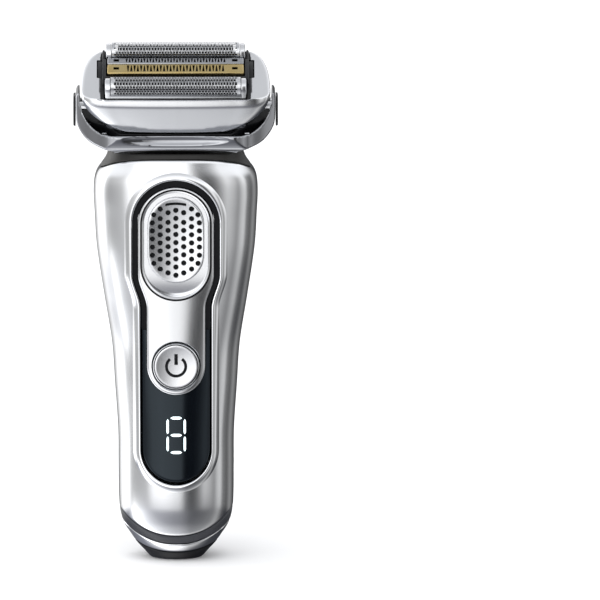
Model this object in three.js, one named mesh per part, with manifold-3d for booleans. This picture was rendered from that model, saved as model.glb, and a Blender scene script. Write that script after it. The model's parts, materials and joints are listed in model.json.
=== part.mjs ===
// Foil shaver with a tilting four-element head, as separate parts.
// Millimetres, +Z up, the front faces -Y, the base rests on Z = 0.

import * as THREE from 'three';
import { mergeVertices } from 'three/addons/utils/BufferGeometryUtils.js';
import Module from 'manifold-3d';

const wasm = await Module();
wasm.setup();

// ---------------------------------------------------------------- driving dimensions

const bodyShiftY = 2.04;         // moves the handle's axis back, so the origin is under the whole outline
const gap = 0.3;                 // clearance between neighbouring parts
const wall = 2.0;                // thickness of the handle shells
const partingY = -4.5;           // plane where front and rear shell meet

// Handle profile: [height, size] points of smooth curves.
const halfWidth = smoothCurve([
  [0, 8.6], [2, 10.2], [5, 12.9], [7.8, 14.8], [10.4, 16.5], [13.5, 17.7], [18.2, 18.4], [30, 18.6],
  [42, 18.7], [57.5, 19.7], [70.6, 20.6], [86.4, 23.1], [102, 25.4], [113, 26.1], [121, 26.4],
  [126, 25.6], [131, 22.4], [136, 21.2],
]);
const frontDepth = smoothCurve([
  [0, 7.6], [2, 9.2], [5, 11.7], [7.8, 13.4], [10.4, 14.8], [13.5, 15.9], [18.2, 16.6], [30, 17],
  [60, 17.3], [90, 17.7], [112, 18], [124, 17.9], [131, 16.8], [136, 15.4],
]);
const backDepth = smoothCurve([
  [0, 7.6], [2, 9.2], [5, 11.7], [7.8, 13.3], [10.4, 14.4], [13.5, 15.3], [18.2, 15.8], [30, 16],
  [60, 16.5], [90, 17.2], [112, 17.4], [124, 17], [131, 15.8], [136, 14.6],
]);
const squareness = smoothCurve([[0, 2.1], [20, 2.4], [60, 2.5], [100, 2.7], [136, 2.8]]);
const handleRings = [0, 2.5, 5.5, 9, 13.5, 19, 30, 44, 58, 72, 86, 100, 112, 120, 125, 129, 132.5, 135.2];
const insideRings = [0, 9, 19, 58, 86, 112, 125, 135.2];

// Edges of the shells and of the base parts, seen from the front: height, reach, rise at the reach, power.
const shellTop = edgeShape(132.2, 30, -10, 4);
const shellBottom = edgeShape(8.9, 20, 9.7, 2.2);
const bandBottom = edgeShape(5.9, 20, 8.8, 2.2);
const ringBottom = edgeShape(2.8, 20, 7.3, 2.2);

// Front insert: keyhole outlines.
const keyholeTopZ = 111.7;
const bezel = { top: 15.6, low: 12.95, topZ: keyholeTopZ, lowZ: 37.6, proud: 0.6 };
const lens = { top: 13.9, low: 11.0, topZ: keyholeTopZ, lowZ: 38.0, proud: -0.15 };
const plate = { top: 12.2, low: 9.4, topZ: 111.4, lowZ: 65.3, proud: 0.9 };
const taperTop = 95;
const taperLow = 84;

// Lock slider: an oval plate with round holes.
const slider = { halfWidth: 9.1, top: 120.3, bottom: 92.5, frontY: -18.3, backY: -17.0 };
const recess = { halfWidth: 10.25, top: 121.9, bottom: 87.9, floorY: -16.6 };
const holes = {
  radius: 0.78, pitchX: 2.5, pitchZ: 2.63,
  counts: [9, 8, 8, 7],          // holes in the middle column, then in each column outwards
  middles: [105.6, 105.6, 106.85, 106.85],
  spread: [0, 0.55, 0.55, 0],    // how far the end holes of a column are moved outwards along it
  tuck: [0, 0, 0, 0.45],         // how far they are drawn in towards the middle column
};

const button = { radius: 7.5, z: 65.3, frontY: -18.6, backY: -15.0 };

// Head: tilts about an axis along X.
const pivot = { y: -2, z: 147 };
const headTilt = THREE.MathUtils.degToRad(30);
const carrierProfile = [[18, 14.9], [22.7, 10], [27, 8.2], [29.3, 6.2], [30.4, 5]];
const foil = { radius: 2.9, thickness: 0.35, centreN: 17, endCap: 1.7 };
const frontFoil = { d: -10, half: 23.1 };
const rearFoil = { d: 7.7, half: 22.3 };

const colours = {
  silver: 0xc9ccd1, chrome: 0xdfe2e6, black: 0x0c0d10, grey: 0x3a3c40, rubber: 0x34332f, lens: 0x0b1220,
  steel: 0xb9bcc0, gold: 0xc79a3b, board: 0x1d5a36, copper: 0xb46a35, battery: 0x3f6fa8,
};

// ---------------------------------------------------------------- curves and shapes

function smoothCurve(points) {
  const slope = (i) => {
    const before = points[Math.max(i - 1, 0)];
    const after = points[Math.min(i + 1, points.length - 1)];
    return (after[1] - before[1]) / (after[0] - before[0]);
  };
  return (t) => {
    const last = points.length - 2;
    let i = 0;
    while (i < last && t > points[i + 1][0]) i += 1;
    const span = points[i + 1][0] - points[i][0];
    const s = THREE.MathUtils.clamp((t - points[i][0]) / span, 0, 1);
    const rise = points[i + 1][1] - points[i][1];
    const startSlope = slope(i) * span;
    const endSlope = slope(i + 1) * span;
    const s2 = s * s;
    const s3 = s2 * s;
    return points[i][1] + startSlope * (s3 - 2 * s2 + s) + rise * (3 * s2 - 2 * s3) + endSlope * (s3 - s2);
  };
}

// Everything below an arched edge: level in the middle, rising (or falling) towards the sides.
function edgeShape(centreZ, reach, rise, power) {
  const shape = new THREE.Shape();
  const steps = 12;
  shape.moveTo(-reach, -20);
  shape.lineTo(reach, -20);
  for (let i = 0; i <= steps; i += 1) {
    const x = reach * (1 - (2 * i) / steps);
    const share = Math.abs(x) / reach;
    shape.lineTo(x, centreZ + rise * share ** power);
  }
  return shape;
}

function polygonShape(points) {
  return new THREE.Shape(points.map(([x, y]) => new THREE.Vector2(x, y)));
}

function ovalShape(half, top, bottom) {
  const shape = new THREE.Shape();
  shape.absarc(0, top - half, half, 0, Math.PI);
  shape.absarc(0, bottom + half, half, Math.PI, 2 * Math.PI);
  return shape;
}

function keyholeShape(size, inset = 0) {
  const shape = new THREE.Shape();
  const top = size.top - inset;
  const low = size.low - inset;
  const bend = (taperTop - taperLow) / 2;
  shape.moveTo(low, taperLow);
  shape.bezierCurveTo(low, taperLow + bend, top, taperTop - bend, top, taperTop);
  shape.absarc(0, size.topZ, top, 0, Math.PI);
  shape.lineTo(-top, taperTop);
  shape.bezierCurveTo(-top, taperTop - bend, -low, taperLow + bend, -low, taperLow);
  shape.absarc(0, size.lowZ, low, Math.PI, 2 * Math.PI);
  return shape;
}

function roundedRect(x0, x1, y0, y1, radius) {
  const shape = new THREE.Shape();
  shape.absarc(x1 - radius, y1 - radius, radius, 0, Math.PI / 2);
  shape.absarc(x0 + radius, y1 - radius, radius, Math.PI / 2, Math.PI);
  shape.absarc(x0 + radius, y0 + radius, radius, Math.PI, 1.5 * Math.PI);
  shape.absarc(x1 - radius, y0 + radius, radius, 1.5 * Math.PI, 2 * Math.PI);
  return shape;
}

// ---------------------------------------------------------------- solids

function solid(geometry) {
  const plain = geometry.index ? geometry.clone() : geometry;
  plain.deleteAttribute('normal');
  plain.deleteAttribute('uv');
  const merged = mergeVertices(plain, 1e-4);
  const vertProperties = new Float32Array(merged.attributes.position.array);
  const triVerts = new Uint32Array(merged.index.array);
  return new wasm.Manifold(new wasm.Mesh({ numProp: 3, vertProperties, triVerts }));
}

function toGeometry(manifold) {
  const mesh = manifold.getMesh();
  const geometry = new THREE.BufferGeometry();
  geometry.setAttribute('position', new THREE.BufferAttribute(new Float32Array(mesh.vertProperties), 3));
  geometry.setIndex(new THREE.BufferAttribute(new Uint32Array(mesh.triVerts), 1));
  geometry.computeVertexNormals();
  return geometry;
}

const axisX = new THREE.Vector3(1, 0, 0);
const axisY = new THREE.Vector3(0, 1, 0);
const axisZ = new THREE.Vector3(0, 0, 1);

// A shape drawn in (X, Z) and extruded along Y, in (Y, Z) along X, or in (X, Y) along Z.
function prism(shape, axis, from, to, curveSegments = 5) {
  const geometry = new THREE.ExtrudeGeometry(shape, { depth: to - from, bevelEnabled: false, curveSegments });
  const turn = new THREE.Matrix4();
  if (axis === 'y') {
    turn.makeBasis(axisX, axisZ, axisY.clone().negate());
    geometry.applyMatrix4(turn).translate(0, to, 0);
  } else if (axis === 'x') {
    turn.makeBasis(axisY, axisZ, axisX);
    geometry.applyMatrix4(turn).translate(from, 0, 0);
  } else {
    geometry.translate(0, 0, from);
  }
  return solid(geometry);
}

function box(x0, x1, y0, y1, z0, z1) {
  const geometry = new THREE.BoxGeometry(x1 - x0, y1 - y0, z1 - z0);
  geometry.translate((x0 + x1) / 2, (y0 + y1) / 2, (z0 + z1) / 2);
  return solid(geometry);
}

// A turned part: profile points are [distance along the axis, radius].
function turned(profile, axis, steps = 24) {
  const points = profile.map(([along, radius]) => new THREE.Vector2(radius, along));
  const geometry = new THREE.LatheGeometry(points, steps);
  if (axis === 'x') geometry.rotateZ(-Math.PI / 2);
  if (axis === 'z') geometry.rotateX(Math.PI / 2);
  return solid(geometry);
}

function rod(axis, radius, from, to, centre, steps = 16) {
  const profile = [[from, 0], [from, radius], [to, radius], [to, 0]];
  const piece = turned(profile, axis, steps);
  return piece.translate(centre);
}

function join(...pieces) {
  return pieces.reduce((sum, piece) => sum.add(piece));
}

// The handle's outer form, made larger or smaller by an offset, as a stack of rounded rings.
function handleForm(offset, rings = handleRings, ringSteps = 40, bottom = 0) {
  const heights = rings.filter((z) => z > bottom + 0.5);
  heights.unshift(bottom);
  const vertices = [];
  for (const z of heights) {
    const power = 2 / squareness(z);
    for (let i = 0; i < ringSteps; i += 1) {
      const angle = (2 * Math.PI * i) / ringSteps;
      const c = Math.cos(angle);
      const s = Math.sin(angle);
      const depth = (s < 0 ? frontDepth(z) : backDepth(z)) + offset;
      const x = (halfWidth(z) + offset) * Math.sign(c) * Math.abs(c) ** power;
      const y = depth * Math.sign(s) * Math.abs(s) ** power;
      vertices.push(x, y, z);
    }
  }
  const topStart = (heights.length - 1) * ringSteps;
  const bottomCentre = vertices.length / 3;
  vertices.push(0, 0, heights[0], 0, 0, heights[heights.length - 1]);
  const faces = [];
  for (let ring = 0; ring < heights.length - 1; ring += 1) {
    for (let i = 0; i < ringSteps; i += 1) {
      const j = (i + 1) % ringSteps;
      const a = ring * ringSteps + i;
      const b = ring * ringSteps + j;
      faces.push(a, b, b + ringSteps, a, b + ringSteps, a + ringSteps);
    }
  }
  for (let i = 0; i < ringSteps; i += 1) {
    const j = (i + 1) % ringSteps;
    faces.push(bottomCentre, j, i);
    faces.push(bottomCentre + 1, topStart + i, topStart + j);
  }
  const geometry = new THREE.BufferGeometry();
  geometry.setAttribute('position', new THREE.BufferAttribute(new Float32Array(vertices), 3));
  geometry.setIndex(faces);
  return solid(geometry);
}

const far = 60;
const outerForm = handleForm(0);
const innerForm = handleForm(-wall, insideRings, 24, 3.4);
const above = (shape, lift = 0) => box(-29.9, 29.9, -far, far, -19, 200).subtract(prism(shape, 'y', -far, far)
  .translate([0, 0, lift]));
const below = (shape, drop = 0) => prism(shape, 'y', -far, far).translate([0, 0, -drop]);

// ---------------------------------------------------------------- scene graph

const shaver = new THREE.Group();
const handleGroup = new THREE.Group();
handleGroup.position.y = bodyShiftY;
shaver.add(handleGroup);
const headGroup = new THREE.Group();
headGroup.position.set(0, pivot.y, pivot.z);
headGroup.rotation.x = headTilt;
handleGroup.add(headGroup);

function add(group, name, piece, color, metalness, roughness) {
  const material = new THREE.MeshStandardMaterial({ color, metalness, roughness });
  const mesh = new THREE.Mesh(toGeometry(piece), material);
  mesh.name = name;
  group.add(mesh);
}

function inHandle(name, piece, color, metal = 0, rough = 0.5) {
  add(handleGroup, name, piece, color, metal, rough);
}

function inHead(name, piece, color, metal = 0, rough = 0.5) {
  add(headGroup, name, piece, color, metal, rough);
}

// ---------------------------------------------------------------- handle shells and base

const trimmerGate = { half: 12, bottom: 89, depthY: 14.3 };

function makeShells() {
  const skin = outerForm.subtract(innerForm).intersect(below(shellTop)).intersect(above(shellBottom));
  const pocket = prism(keyholeShape(bezel, -0.2), 'y', -far, -5);
  const front = skin.intersect(box(-far, far, -far, partingY, -1, 150)).subtract(pocket)
    .subtract(yokeRoom());
  const gate = box(-trimmerGate.half - gap, trimmerGate.half + gap, 5, far, trimmerGate.bottom - gap, 150);
  const rear = skin.intersect(box(-far, far, partingY + 0.15, far, -1, 150)).subtract(gate)
    .subtract(yokeRoom());
  inHandle('front_shell', front, colours.silver, 0.9, 0.25);
  inHandle('rear_shell', rear, colours.grey, 0, 0.45);
}

const inlet = { half: 6.4, depth: 3.6, height: 7, pinX: 4.1, pinRadius: 0.8 };
const baseScrew = { y: 5.6, headRadius: 1.3, shaftRadius: 0.8 };

function makeBase() {
  const form = handleForm(0, handleRings, 28);
  const hollow = handleForm(-2.2, insideRings, 20, 1);
  const band = form.subtract(hollow).intersect(below(shellBottom, 0.15)).intersect(above(bandBottom, 0.15));
  const ring = form.subtract(hollow).intersect(below(bandBottom, 0)).intersect(above(ringBottom, 0.15));
  inHandle('base_band', band, colours.grey, 0, 0.5);
  inHandle('base_ring', ring, colours.chrome, 1, 0.1);

  const bowl = form.intersect(below(ringBottom)).intersect(box(-far, far, -far, far, -1, 6));
  const well = prism(roundedRect(-7.6, 7.6, -4.8, 4.8, 2), 'z', 0.5, 9, 2);
  const inletShape = roundedRect(-inlet.half, inlet.half, -inlet.depth, inlet.depth, 3.2);
  const socket = prism(inletShape, 'z', -1, inlet.height, 3);
  let cap = bowl.subtract(hollow.intersect(box(-far, far, -far, far, 1.6, far))).add(well).subtract(socket);
  for (const side of [-1, 1]) {
    cap = cap.subtract(rod('z', inlet.pinRadius + 0.15, 6, 12, [side * inlet.pinX, 0, 0], 10));
    cap = cap.subtract(rod('z', baseScrew.shaftRadius + 0.2, -1, 12, [0, side * baseScrew.y, 0], 10));
    cap = cap.subtract(rod('z', baseScrew.headRadius + 0.2, -1, 1.4, [0, side * baseScrew.y, 0], 10));
  }
  inHandle('base_cap', cap, colours.black, 0, 0.4);

  const sides = { left: -1, right: 1 };
  for (const [name, side] of Object.entries(sides)) {
    const pin = turned([[2, 0], [2.4, 0.8], [11, 0.8], [11, 0]], 'z', 10).translate([side * inlet.pinX, 0, 0]);
    inHandle(`charge_pin_${name}`, pin, colours.steel, 1, 0.2);
  }
  const ends = { front: -1, rear: 1 };
  for (const [name, side] of Object.entries(ends)) {
    const { headRadius, shaftRadius } = baseScrew;
    const profile = [
      [0.3, 0], [0.3, headRadius], [1.1, headRadius], [1.1, shaftRadius], [8, shaftRadius], [8, 0],
    ];
    const drive = box(-0.9, 0.9, -0.2, 0.2, -1, 0.6);
    const screw = turned(profile, 'z', 10).subtract(drive).translate([0, side * baseScrew.y, 0]);
    inHandle(`base_screw_${name}`, screw, colours.steel, 1, 0.3);
  }
}

// ---------------------------------------------------------------- front insert and controls

function makeInsert() {
  const cut = (size, inset, deepY) => prism(keyholeShape(size, inset), 'y', -far, deepY);
  const bezelBody = handleForm(bezel.proud).intersect(cut(bezel, 0, -11.8)).subtract(cut(lens, -0.15, 0));
  inHandle('bezel_ring', bezelBody, colours.chrome, 1, 0.12);

  const lensBody = handleForm(lens.proud).intersect(cut(lens, 0, -13.2)).subtract(cut(plate, -0.15, 0));
  inHandle('display_window', lensBody, colours.lens, 0.1, 0.08);

  const oval = prism(ovalShape(recess.halfWidth, recess.top, recess.bottom), 'y', -far, recess.floorY);
  const slot = box(-2.6, 2.6, -far, 0, 97.5, 109);
  const well = rod('y', button.radius + 0.3, -far, 0, [0, 0, button.z], 28);
  const plateBody = handleForm(plate.proud).intersect(cut(plate, 0, -14.6));
  inHandle('control_plate', plateBody.subtract(oval).subtract(slot).subtract(well), colours.silver, 0.9, 0.3);
}

// Columns of staggered round holes, the same to the left and right of the middle column.
function holeCentres() {
  const centres = [];
  for (const [column, count] of holes.counts.entries()) {
    for (let i = 0; i < count; i += 1) {
      const row = i - (count - 1) / 2;
      const isEnd = i === 0 || i === count - 1;
      const spread = isEnd ? Math.sign(row) * holes.spread[column] : 0;
      const z = holes.middles[column] + row * holes.pitchZ + spread;
      const x = column * holes.pitchX - (isEnd ? holes.tuck[column] : 0);
      centres.push([x, z]);
      if (column > 0) centres.push([-x, z]);
    }
  }
  return centres;
}

function makeLockSlider() {
  let body = prism(ovalShape(slider.halfWidth, slider.top, slider.bottom), 'y', slider.frontY, slider.backY);
  for (const [x, z] of holeCentres()) {
    body = body.subtract(rod('y', holes.radius, -19, -16, [x, 0, z], 6));
  }
  const mark = box(-3.3, 3.3, -19, -17.8, 117.8, 118.7);
  inHandle('lock_slider', body.subtract(mark), colours.silver, 0.9, 0.35);

  const stem = box(-2.2, 2.2, slider.backY + 0.05, -14.2, 102, 108.6);
  const tongue = box(-2.2, 2.2, -14.2, -13, 102, 122);
  inHandle('lock_rod', stem.add(tongue), colours.black, 0, 0.5);
}

function makePowerButton() {
  const profile = [[button.frontY, 0], [button.frontY, 6.9], [button.frontY + 0.5, 7.5], [button.backY, 7.5],
    [button.backY, 0]];
  inHandle('power_button', turned(profile, 'y', 28).translate([0, 0, button.z]), colours.silver, 0.9, 0.3);
  inHandle('button_switch', box(-3, 3, -14.3, -12.5, button.z - 3, button.z + 3), colours.steel, 0.6, 0.4);
}

const board = { half: 9.5, front: -12.3, back: -10.9, bottom: 33, top: 119 };
const display = { half: 6, front: -13, back: -12.5, bottom: 33.5, top: 51.7 };
const chassis = { outer: 10.5, inner: 9, front: -10.6, floor: -9.1, rim: 7, bottom: 19, top: 121 };
const battery = { radius: 7.1, bottom: 22, top: 72, capRadius: 2.5, capTop: 73 };

function makeInside() {
  const plateOf = ({ half, front, back, bottom, top }) => box(-half, half, front, back, bottom, top);
  inHandle('display_module', plateOf(display), colours.black, 0, 0.3);
  inHandle('main_board', plateOf(board), colours.board, 0, 0.5);
  const { outer, inner, front, floor, rim } = chassis;
  const tray = polygonShape([
    [-outer, front], [outer, front], [outer, rim], [inner, rim],
    [inner, floor], [-inner, floor], [-inner, rim], [-outer, rim],
  ]);
  inHandle('inner_chassis', prism(tray, 'z', chassis.bottom, chassis.top), colours.grey, 0, 0.6);
  const cell = turned([
    [battery.bottom, 0], [battery.bottom, battery.radius], [battery.top, battery.radius],
    [battery.top, battery.capRadius], [battery.capTop, battery.capRadius], [battery.capTop, 0],
  ], 'z', 28);
  inHandle('battery_cell', cell, colours.battery, 0.2, 0.4);
}

// ---------------------------------------------------------------- back of the handle

const gripRings = [0, 19, 30, 44, 58, 72, 86, 135.2];
const grip = { half: 12.5, bottom: 22, top: 84, corner: 8, foot: 0.3, proud: 0.9 };
const hairComb = { teeth: 15, slotHalf: 0.4, rootZ: 123.6, tipZ: 126, front: 16.7, back: 17.4 };
const thumbRibs = { count: 5, pitch: 2.6, firstZ: 94, width: 1.2, half: 7 };

function makeGrip() {
  const pad = handleForm(grip.proud, gripRings, 28).subtract(handleForm(grip.foot, gripRings, 28))
    .intersect(box(-far, far, 6, far, 0, 150));
  const outline = prism(roundedRect(-grip.half, grip.half, grip.bottom, grip.top, grip.corner), 'y', 0, far);
  inHandle('rear_grip', pad.intersect(outline), colours.rubber, 0, 0.8);
}

// The long-hair trimmer: a slide on the back that carries a comb and a moving blade up past the neck.
function makeLongHairTrimmer() {
  const { half, bottom, depthY } = trimmerGate;
  const housing = box(-half + gap, half - gap, 10.8, 13.9, bottom, 125.5)
    .subtract(box(-half + 3, half - 3, 12.2, 20, 92, 130));
  inHandle('trimmer_housing', housing, colours.black, 0, 0.5);

  let slide = box(-half, half, depthY, 17.7, bottom, 121)
    .subtract(box(-half - 1, half + 1, 16.4, 20, 112, 125));
  for (let i = 0; i < thumbRibs.count; i += 1) {
    const z = thumbRibs.firstZ + thumbRibs.pitch * i;
    slide = slide.subtract(box(-thumbRibs.half, thumbRibs.half, 17.2, 20, z, z + thumbRibs.width));
  }
  inHandle('trimmer_slide', slide, colours.black, 0, 0.5);

  let fixed = box(-half + 0.5, half - 0.5, hairComb.front, hairComb.back, 113, hairComb.tipZ);
  let moving = box(-half + 2, half - 2, 15.8, 16.35, 121.4, hairComb.tipZ - 0.5);
  const pitch = (2 * half - 3) / hairComb.teeth;
  for (let i = 0; i < hairComb.teeth; i += 1) {
    const x = (i - (hairComb.teeth - 1) / 2) * pitch;
    const slot = box(x - hairComb.slotHalf, x + hairComb.slotHalf, 15, 18, hairComb.rootZ, hairComb.tipZ + 1);
    fixed = fixed.subtract(slot);
    if (Math.abs(x) < half - 2.4) moving = moving.subtract(slot);
  }
  inHandle('trimmer_comb', fixed, colours.steel, 1, 0.25);
  inHandle('trimmer_blade', moving, colours.steel, 1, 0.25);
}

// ---------------------------------------------------------------- neck and yoke

const troughRadius = 15.75;      // room for the cassette's underside as the head tilts
const axle = { radius: 1.9, bore: 2.1, from: 27.6, to: 31.1 };
const armCover = { inner: 32.15, outer: 32.9, half: 5.5, bottom: 141.5, top: 151.5 };
const neckTop = 134;
const yokeSide = polygonShape([
  [-18.7, 140.4], [-18.6, 137.3], [-17.6, 134.8], [-14.2, 132.8], [-10.4, 130.8], [-6.5, 129.4], [-2, 128.9],
  [2.5, 129.4], [6.4, 130.8], [10.2, 132.8], [13.6, 134.8], [14.2, 137.5], [14.2, 155], [-18.7, 155],
]);

function yokeFront(grow) {
  const half = [
    [18.9 + grow, 128 - grow], [20 + grow, 134.8 - grow], [22.7, 135.7 - grow], [27, 137.4 - grow],
    [29.6 + grow, 139.6 - grow], [31.6 + grow, 143 - grow], [32 + grow, 147], [32 + grow, 152],
    [31.6, 153 + grow], [30.9 - grow, 153 + grow], [30.8 - grow, 149.4], [28.8 - grow, 144.8 + grow], [25, 141.3 + grow],
    [21, 140.2 + grow],
  ];
  const mirrored = half.map(([x, z]) => [-x, z]).reverse();
  return prism(polygonShape([...half, ...mirrored]), 'y', -far, far);
}

function yokePlan(grow) {
  const quarter = [[0, 16.2], [19, 16.2], [22.4, 14.4], [22.6, 11.8], [27, 10], [33, 7.5]];
  const front = quarter.map(([x, depth]) => [x + grow, pivot.y - depth - grow - 0.6 * (depth > 14)]);
  const back = quarter.map(([x, depth]) => [x + grow, pivot.y + depth + grow]).reverse();
  const right = [...front, ...back];
  const left = right.map(([x, y]) => [-x, y]).reverse();
  return prism(polygonShape([...right.slice(1, -1), ...left.slice(1, -1)]), 'z', 100, 180);
}

function carrierForm(grow) {
  const right = carrierProfile.map(([x, r]) => [x + grow, r + grow]);
  const left = right.map(([x, r]) => [-x, r]).reverse();
  return turned([[left[0][0], 0], ...left, ...right, [right[right.length - 1][0], 0]], 'x', 32);
}

// The space that the yoke takes in the neck and between the shells.
function yokeRoom() {
  const side = prism(yokeSide, 'x', -far, far).translate([0, 0, -gap]);
  return yokeFront(gap).intersect(yokePlan(gap)).intersect(side);
}

function makeYoke() {
  const blank = yokeFront(0).intersect(yokePlan(0)).intersect(prism(yokeSide, 'x', -far, far));
  const sweep = carrierForm(0.6).translate([0, pivot.y, pivot.z]);
  const cassetteRoom = rod('x', troughRadius, -23.6, 23.6, [0, pivot.y, pivot.z], 40)
    .intersect(box(-22, 22, -30, 30, 137.4, 160).add(box(-24, 24, -30, pivot.y - 10.3, 137.4, 160)));
  const bores = rod('x', axle.bore, -31.4, 31.4, [0, pivot.y, pivot.z], 20);
  const yoke = blank.subtract(sweep).subtract(cassetteRoom).subtract(bores);
  inHandle('yoke', yoke, colours.chrome, 1, 0.12);

  const coverShape = roundedRect(
    pivot.y - armCover.half, pivot.y + armCover.half, armCover.bottom, armCover.top, 3,
  );
  const cover = prism(coverShape, 'x', armCover.inner, armCover.outer, 3);
  const pivotPin = rod('x', axle.radius, axle.from, axle.to, [0, pivot.y, pivot.z], 16);
  for (const name of ['left', 'right']) {
    const place = (piece) => (name === 'left' ? piece.mirror(axisX.toArray()) : piece);
    inHandle(`arm_cover_${name}`, place(cover), colours.black, 0, 0.4);
    inHandle(`pivot_pin_${name}`, place(pivotPin), colours.steel, 1, 0.2);
  }

  const neck = outerForm.intersect(above(shellTop, 0.25)).intersect(box(-far, far, -far, far, 120, neckTop))
    .subtract(yokeRoom())
    .subtract(sweep)
    .subtract(box(-trimmerGate.half - 0.8, trimmerGate.half + 0.8, trimmerGate.depthY - 0.4, far, 100, 150));
  inHandle('neck_seal', neck, colours.rubber, 0, 0.7);
}

// ---------------------------------------------------------------- head: carrier and motor
// Head parts are drawn with X across, Y from front to back and Z out through the foils.

const motorBay = { halfX: 17.5, low: -9.5 };

function makeCarrier() {
  const lower = carrierForm(0).intersect(box(-far, far, -far, far, -far, 0.9));
  const upper = box(-20, 20, -12.3, 10.3, 0.5, 6);
  const bay = box(-motorBay.halfX, motorBay.halfX, -8, 8, motorBay.low, far)
    .add(box(-motorBay.halfX, motorBay.halfX, -11.2, 9.2, -1, far));
  let carrier = lower.add(upper).subtract(bay);
  carrier = carrier.subtract(rod('x', axle.bore, -31, -27.3, [0, 0, 0], 20))
    .subtract(rod('x', axle.bore, 27.3, 31, [0, 0, 0], 20));
  inHead('head_carrier', carrier, colours.black, 0, 0.4);
}

function makeMotor() {
  const core = box(-12, 12, -5.5, 5.5, -9.2, -7).add(box(-12, -9.5, -5.5, 5.5, -7.2, -1.4))
    .add(box(9.5, 12, -5.5, 5.5, -7.2, -1.4)).add(box(-2.5, 2.5, -5.5, 5.5, -7.2, -1.4));
  inHead('motor_core', core, colours.steel, 0.8, 0.5);
  const coil = prism(roundedRect(-7.5, 7.5, -7.5, 7.5, 3), 'z', -6.7, -1.8, 6)
    .subtract(box(-2.8, 2.8, -5.8, 5.8, -10, 0));
  inHead('motor_coil', coil, colours.copper, 0.7, 0.4);
  const movers = { front: [-11, -0.4, frontFoil.d], rear: [0.4, 9, rearFoil.d] };
  for (const [name, [y0, y1, pinY]] of Object.entries(movers)) {
    inHead(`mover_${name}`, box(-10, 10, y0, y1, -0.8, 2.2), colours.steel, 0.8, 0.5);
    inHead(`drive_pin_${name}`, rod('z', 0.9, 2.3, 10.6, [0, pinY, 0], 12), colours.steel, 1, 0.2);
  }
}

// ---------------------------------------------------------------- head: cassette

const cassette = { front: -15.2, back: 13.2, rimN: 14, openX: 23.9, openFront: -13.4, openBack: 11.1 };
const holderLug = { x: 25.6, front: -1.9, back: 6.8, low: 11.2 };  // sits in a notch of the cassette's rim

function cassetteForm(grow) {
  const half = [[21, 1.4], [23.3, 2.9], [26, 5], [28.8, 8.4], [30.1, 11.6], [30.3, 13], [29.9, cassette.rimN]]
    .map(([x, n]) => [x + grow, n - grow * (n < 10)]);
  const mirrored = half.map(([x, n]) => [-x, n]).reverse();
  const frontView = prism(polygonShape([...half, ...mirrored]), 'y', -far, far);
  const sideView = prism(polygonShape([
    [cassette.front - grow, 1.4 - grow], [cassette.back, 1.4 - grow], [cassette.back + grow, 11],
    [cassette.back - 0.8, cassette.rimN], [cassette.front + 1.4, cassette.rimN],
    [cassette.front + 0.5 - grow, 11.5],
  ]), 'x', -far, far);
  const corner = [[30.6, -12], [29.8, 1], [27.8, 9], [25, 12.3], [22, 13.4]];
  const plan = new THREE.Shape();
  plan.moveTo(25, -15.4 - grow);
  plan.quadraticCurveTo(30.4 + grow, -15.4 - grow, corner[0][0] + grow, corner[0][1]);
  for (const [x, y] of corner.slice(1)) plan.lineTo(x + grow, y + grow);
  for (const [x, y] of corner.slice(1).reverse()) plan.lineTo(-x - grow, y + grow);
  plan.lineTo(-corner[0][0] - grow, corner[0][1]);
  plan.quadraticCurveTo(-30.4 - grow, -15.4 - grow, -25, -15.4 - grow);
  return frontView.intersect(sideView).intersect(prism(plan, 'z', -5, 30, 5));
}

function releaseButtonShape(grow) {
  return roundedRect(-4.5 - grow, 3 + grow, 6 - grow, 10.4 + grow, 2);
}

function makeCassette() {
  const openingShape = roundedRect(-cassette.openX, cassette.openX, cassette.openFront, cassette.openBack, 1.2);
  const opening = prism(openingShape, 'z', -5, 30, 4);
  let frame = cassetteForm(0).subtract(opening).subtract(carrierForm(0.5));
  const sides = { left: -1, right: 1 };
  for (const side of Object.values(sides)) {
    const pocket = prism(releaseButtonShape(0.25), 'x', 25.2, 40, 3);
    const { x, front, back, low } = holderLug;
    const notch = box(20, x + gap, front - gap, back + gap, low - gap, far);
    const cut = pocket.add(notch);
    frame = frame.subtract(side > 0 ? cut : cut.mirror([1, 0, 0]));
  }
  inHead('cassette_frame', frame, colours.silver, 0.9, 0.25);
  for (const [name, side] of Object.entries(sides)) {
    const piece = cassetteForm(0.35).intersect(prism(releaseButtonShape(0), 'x', 26.3, 40, 3));
    inHead(`release_button_${name}`, side > 0 ? piece : piece.mirror([1, 0, 0]), colours.black, 0, 0.4);
  }

  const bar = box(-23.5, 23.5, -6.1, -4.3, 8, 16.6);
  const post = box(22.2, 23.5, -6.1, 4.4, 8, 16.6);
  const ear = box(22.65, 23.5, 4.3, 10.7, 8, 16.2);
  const lug = box(22.7, holderLug.x, holderLug.front, holderLug.back, holderLug.low, 13.9);
  const end = join(post, ear, lug);
  inHead('element_holder', join(bar, end, end.mirror([1, 0, 0])), colours.black, 0, 0.4);
}

// ---------------------------------------------------------------- head: foils, cutters and trimmers

// An arch open below: centre line at depth d, outer radius r, legs down to the given height.
function archShape(d, centreN, radius, footN) {
  const shape = new THREE.Shape();
  shape.moveTo(d, footN);
  shape.lineTo(d + radius, footN);
  shape.absarc(d, centreN, radius, 0, Math.PI);
  shape.lineTo(d - radius, footN);
  return shape;
}

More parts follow.
